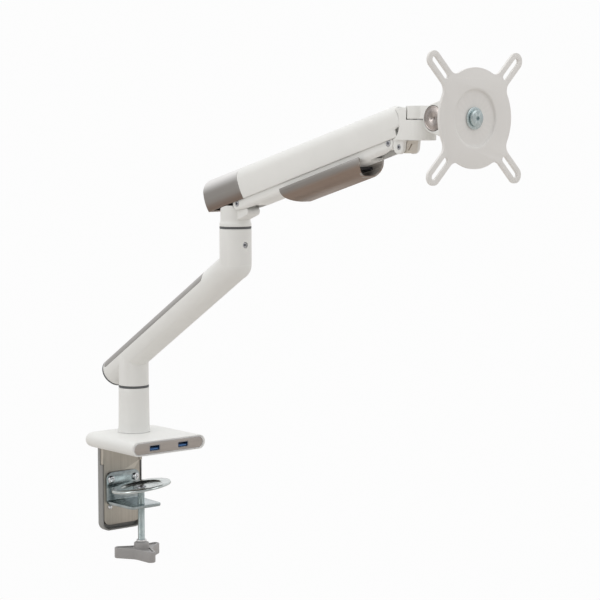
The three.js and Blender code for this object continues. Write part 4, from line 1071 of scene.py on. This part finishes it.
def makeTray(size):
    half, top, low, wall = size["trayHalf"], size["trayTop"], size["trayLow"], size["trayWall"]
    side = bend((78, top + 1), (75, top + 1), (76, -7), 10) + bend((76, -7), (80, -16), (97, low - 1), 16)[1:]
    side += bend((186, low - 1), (193, low + 2), (197, -8), 12)
    side += bend((197, -8), (199, top + 1), (193, top + 1), 10)[1:]
    corner = size["trayCorner"]
    tray = prism(channel(half, low, top, corner, 18), "section", 60, 210)
    within(tray, prism(side, "side", -20, 20))
    cut(tray, prism(channel(half - wall, low + wall, top + 5, corner - wall, 18), "section", 50, 220))
    metal = brushed("trayMetal", tone(226, 223, 220), tone(243, 240, 237), tilt=armPitch,
                    rough=0.28, contrast=0.35, shadeBands=size["trayShadeBands"])
    tray = show(onArm(soften(tray, 0.6, 3, 40)), "cableTray", "cable_tray", finish=metal, sharp=45)
    # painted shade: the floor and inner walls of the tray get a second, darker grey finish
    tray.data.materials.append(moulded("trayInnerShade", tone(168, 163, 158), 0.6))
    for face in tray.data.polygons:
        floor = abs(face.center.x) < (half - wall) * mm and face.normal.z > 0.2
        if floor or face.center.x * face.normal.x < 0:
            face.material_index = 1


makeRearKnuckle(rearKnuckle)
makeUpperArm(housing)
makeLink(link)
makeTray(link)
print("upper arm made")


# Front knuckle and the head that swivels on it
head = {
    "half": 14, "tongueHalf": 8.1, "relief": 18.4, "neck": (345, 356.5), "lobe": 10.9, "lobeInner": 7,
    "neckHalf": 10.5, "webUp": 354.5, "barrel": 11.6, "ease": 0.7, "bottom": 343, "lobeUp": 336.8,
    "lobeForward": 13.8, "stopForward": 14.6,
}


def makeFrontKnuckle(size):
    _, top = heights("front_knuckle")
    low = size["bottom"]
    half = size["half"]
    lower = (levelPivot[0], levelPivot[1] - pivotRise)
    plan = arc(0, swivelForward, half, 0, 180, 36) + [(-half, lower[0] - 2), (half, lower[0] - 2)]
    body = soften(prism(plan, "plan", low, top), size["ease"], 4, 50)
    cut(body, rod(size["relief"], -20, 20, "across", levelPivot, 96),
        rod(half + 0.9, swivelSeat - 0.5, top + 1, at=(0, swivelForward), steps=96),
        block((-half - 1, half + 1), (swivelForward, swivelForward + 20), (swivelSeat - 0.5, top + 1)))
    thin = size["tongueHalf"]
    tongue = soften(prism(roundBar(lower, levelPivot, 6.3, 7), "side", -thin, thin), 0.4)
    join(body, tongue, block((-thin, thin), (lower[0], lower[0] + 18), size["neck"]))
    at = (lower[0] + size["lobeForward"], size["lobeUp"])
    lobe = [(lower[0] + 6, 346), (lower[0] + 6, 338)] + arc(*at, 6.6, 190, 360, 24) + [(lower[0] + 21.5, 346)]
    for start, end in ((-size["lobe"], -size["lobeInner"]), (size["lobeInner"], size["lobe"])):
        join(body, cut(soften(prism(lobe, "side", start, end), 0.45), rod(7.2, -20, 20, "across", lower)))
    pinAt = (lower[0] + size["stopForward"], size["lobeUp"])
    cut(body, rod(pinHole, -9, 9, "across", lower), rod(liftHole, -9, 9, "across", levelPivot),
        rod(2.6, -20, 20, "across", pinAt), rod(shaftHole, low + 3, swivelSeat + 5, at=(0, swivelForward)))
    show(body, "frontKnuckle", "front_knuckle", sharp=34)
    pin = rod(2.3, -size["lobe"] - 0.1, size["lobe"] + 0.1, "across", pinAt, 40, 0.3)
    reach = size["lobe"] - 1.5
    cut(pin, rod(1.3, reach, 20, "across", pinAt, 6), rod(1.3, -20, -reach, "across", pinAt, 6))
    show(pin, "stopScrew", "knuckle_screw")

    insert = [(lower[0] + 9.2, low - 0.3), (lower[0] + 9.2, 331.6)]
    insert += arc(lower[0] + 18.4, 333.8, 2.8, -90, 0, 10)
    insert += bend((lower[0] + 21.2, 333.8), (lower[0] + 21.4, 341), (lower[0] + 22.6, low - 0.3), 10)[1:]
    wedge = soften(prism(insert, "side", -6.7, 6.7), 0.5)
    nick = roundBar((-4.6, 334.4), (-1.2, 339.4), 0.7, 0.7, 6)
    cut(wedge, rod(2.6, -20, 20, "across", pinAt), prism(nick, "section", lower[0] + 20.2, lower[0] + 28))
    # painted shade: the insert's warm grey stands for the shade between the knuckle's lobes
    metal = plated("insertShadeTaupe", tone(198, 192, 183), tone(221, 215, 206), 0.36, 500, 0.6)
    show(wedge, "stopInsert", "knuckle_insert", finish=metal)


def makeHead(size):
    _, top = heights("swivel_head")
    low = swivelSeat + 0.3
    half, neck = size["half"], size["neckHalf"]
    body = rod(half, low, top, at=(0, swivelForward), steps=96, ease=0.5)
    arm = soften(block((-neck, neck), (swivelForward, tiltAt[0]), (low, top)), 0.6, 4)
    web = soften(block((-neck, neck), (swivelForward + 16, tiltAt[0]), (size["webUp"], top)), 0.6, 4)
    join(body, arm, web, rod(size["barrel"], -14.7, 14.7, "across", tiltAt, 96, 0.5))
    cut(body, rod(shaftHole, -20, 20, "across", tiltAt),
        rod(shaftHole, low - 1, top - 3, at=(0, swivelForward)))
    show(body, "swivelHead", "swivel_head", sharp=34)


bracket = {
    "outer": 20, "inner": 15, "ear": 13.4, "back": 517.5, "face": 523.6, "cap": 11.2, "deep": 2.2,
    "ease": 1.3,
}


def makeTilt(size):
    back, face, outer, inner = size["back"], size["face"], size["outer"], size["inner"]
    up = tiltAt[1]
    shape = arc(*tiltAt, size["ear"], 115, 245, 36)
    shape += bend(shape[-1], (back - 9, up - 17.2), (back, up - 20), 8)[1:]
    shape += [(face - 1, up - 20), (face - 1, up + 20)]
    shape += bend((back, up + 20), (back - 9, up + 17.2), shape[0], 8)[:-1]
    body = soften(prism(shape, "side", -outer, outer), size["ease"], 4, 50)
    slot = [(0, up - 30), (back, up - 30), (back, up + 30), (0, up + 30)]
    cut(body, prism(slot, "side", -inner, inner))
    join(body, rod(16, face - 2, face, "forward", (0, up), ease=0.4))
    caps = [rod(size["cap"] + 0.6, outer - size["deep"], 30, "across", tiltAt),
            rod(size["cap"] + 0.6, -30, -outer + size["deep"], "across", tiltAt)]
    cut(body, *caps, rod(shaftHole, -30, 30, "across", tiltAt),
        rod(4.3, back - 1, face + 1, "forward", (0, up)))
    show(body, "tiltBracket", "tilt_bracket", sharp=34)
    turnedMetal = machined("turnedSteel", tone(176, 168, 164), "across", (0, *tiltAt), 0.22)
    for side, hand in ((-1, "left"), (1, "right")):
        seat, top = outer - size["deep"] + 0.3, outer + 0.55
        reach = size["cap"]
        profile = [(0, seat), (reach, seat), (reach, top - 0.5), (reach - 0.5, top - 0.05)]
        profile += [(reach - 0.9, top - 0.05), (reach - 1.3, top - 0.4), (reach - 1.7, top - 0.1)]
        profile += [(2.2, top - 0.35), (1.6, top - 1.0), (0, top - 1.1)]
        cap = turned([(a, side * b) for a, b in profile], "across", tiltAt, 96)
        show(cap, "tiltCap" + hand.title(), "tilt_cap_" + hand, finish=turnedMetal, sharp=60)


plate = {"radius": 45, "arm": 7.6, "fillet": 9, "thick": 2.5, "inner": 52.2, "outer": 72.2, "slot": 5.4,
         "rim": 27, "floor": 23.4, "deep": 2.5}


def plateOutline(size):  # a disc that runs into four slotted arms through fillets
    radius, half, fillet = size["radius"], size["arm"], size["fillet"]
    cy = half + fillet
    cx = sqrt((radius + fillet) ** 2 - cy ** 2)
    toDisc = degrees(atan2(-cy, -cx))
    edge = arc(size["outer"], 0, half, 0, 90, 14) + arc(cx, cy, fillet, -90, toDisc, 10)
    start = degrees(atan2(cy, cx))
    quarter = edge + arc(0, 0, radius, start, 90 - start, 16)[1:]
    quarter += [(b, a) for a, b in reversed(edge)][:-1]
    made = []
    for turn in (45, 135, 225, 315):
        angle = radians(turn)
        made += [(a * cos(angle) - b * sin(angle), a * sin(angle) + b * cos(angle)) for a, b in quarter]
    return made


def makePlate(size):
    (_, _), (_, front), (low, high) = span("screen_plate")
    up = (low + high) / 2
    back = front - size["thick"]
    sheet = prism([(a, up + b) for a, b in plateOutline(size)], "section", back, front)
    for turn in (45, 135, 225, 315):
        angle = radians(turn)
        near, far = [(reach * cos(angle), up + reach * sin(angle))
                     for reach in (size["inner"], size["outer"])]
        cut(sheet, prism(roundBar(near, far, size["slot"] / 2), "section", back - 1, front + 1))
    soften(sheet, 0.35, 3, 50)

    def bowl(lip, rim, floor, extra, to):  # a dished step, smooth at its rim and floor
        deep = size["deep"]
        line = [(0, lip - deep), (floor - 1, lip - deep)]
        line += bend((floor - 1, lip - deep), (floor + 1.2, lip - deep),
                     (floor + 1.8, lip - deep * 0.6), 6)[1:]
        line += bend((rim - 1.6, lip - deep * 0.35), (rim - 0.8, lip), (rim + extra, lip), 6)
        return line + [(rim + extra, to), (0, to)]

    behind = bowl(back, size["rim"] + 1.5, size["floor"] + 1.5, 0.6, back + 0.5)
    join(sheet, turned(behind, "forward", (0, up), 96))
    dished = bowl(front, size["rim"], size["floor"], 0.6, front + 2)
    cut(sheet, turned(dished, "forward", (0, up), 96),
        rod(4.6, back - 6, front + 2, "forward", (0, up)))
    show(sheet, "screenPlate", "screen_plate", sharp=34)

    floor = front - size["deep"]
    washer = ring(4.6, 10, floor + 0.3, floor + 1.8, "forward", (0, up), 72, 0.4)
    show(washer, "plateWasher", "plate_washer")
    (_, _), (start, end), (_, _) = span("plate_bolt")
    profile = [(0, start), (4, start), (4, floor + 2.1), (6.6, floor + 2.1)]
    profile += bend((7.3, floor + 2.1), (7.5, floor + 2.2), (7.5, floor + 3.2), 4)
    profile += bend((7.5, end - 1.2), (7.5, end), (6.2, end), 6) + [(0, end)]
    bolt = cut(turned(profile, "forward", (0, up), 72), rod(2.2, end - 2.2, end + 1, "forward", (0, up), 6))
    show(bolt, "plateBolt", "plate_bolt")


makeFrontKnuckle(head)
makeHead(head)
makeTilt(bracket)
makePlate(plate)
print("head and screen plate made")
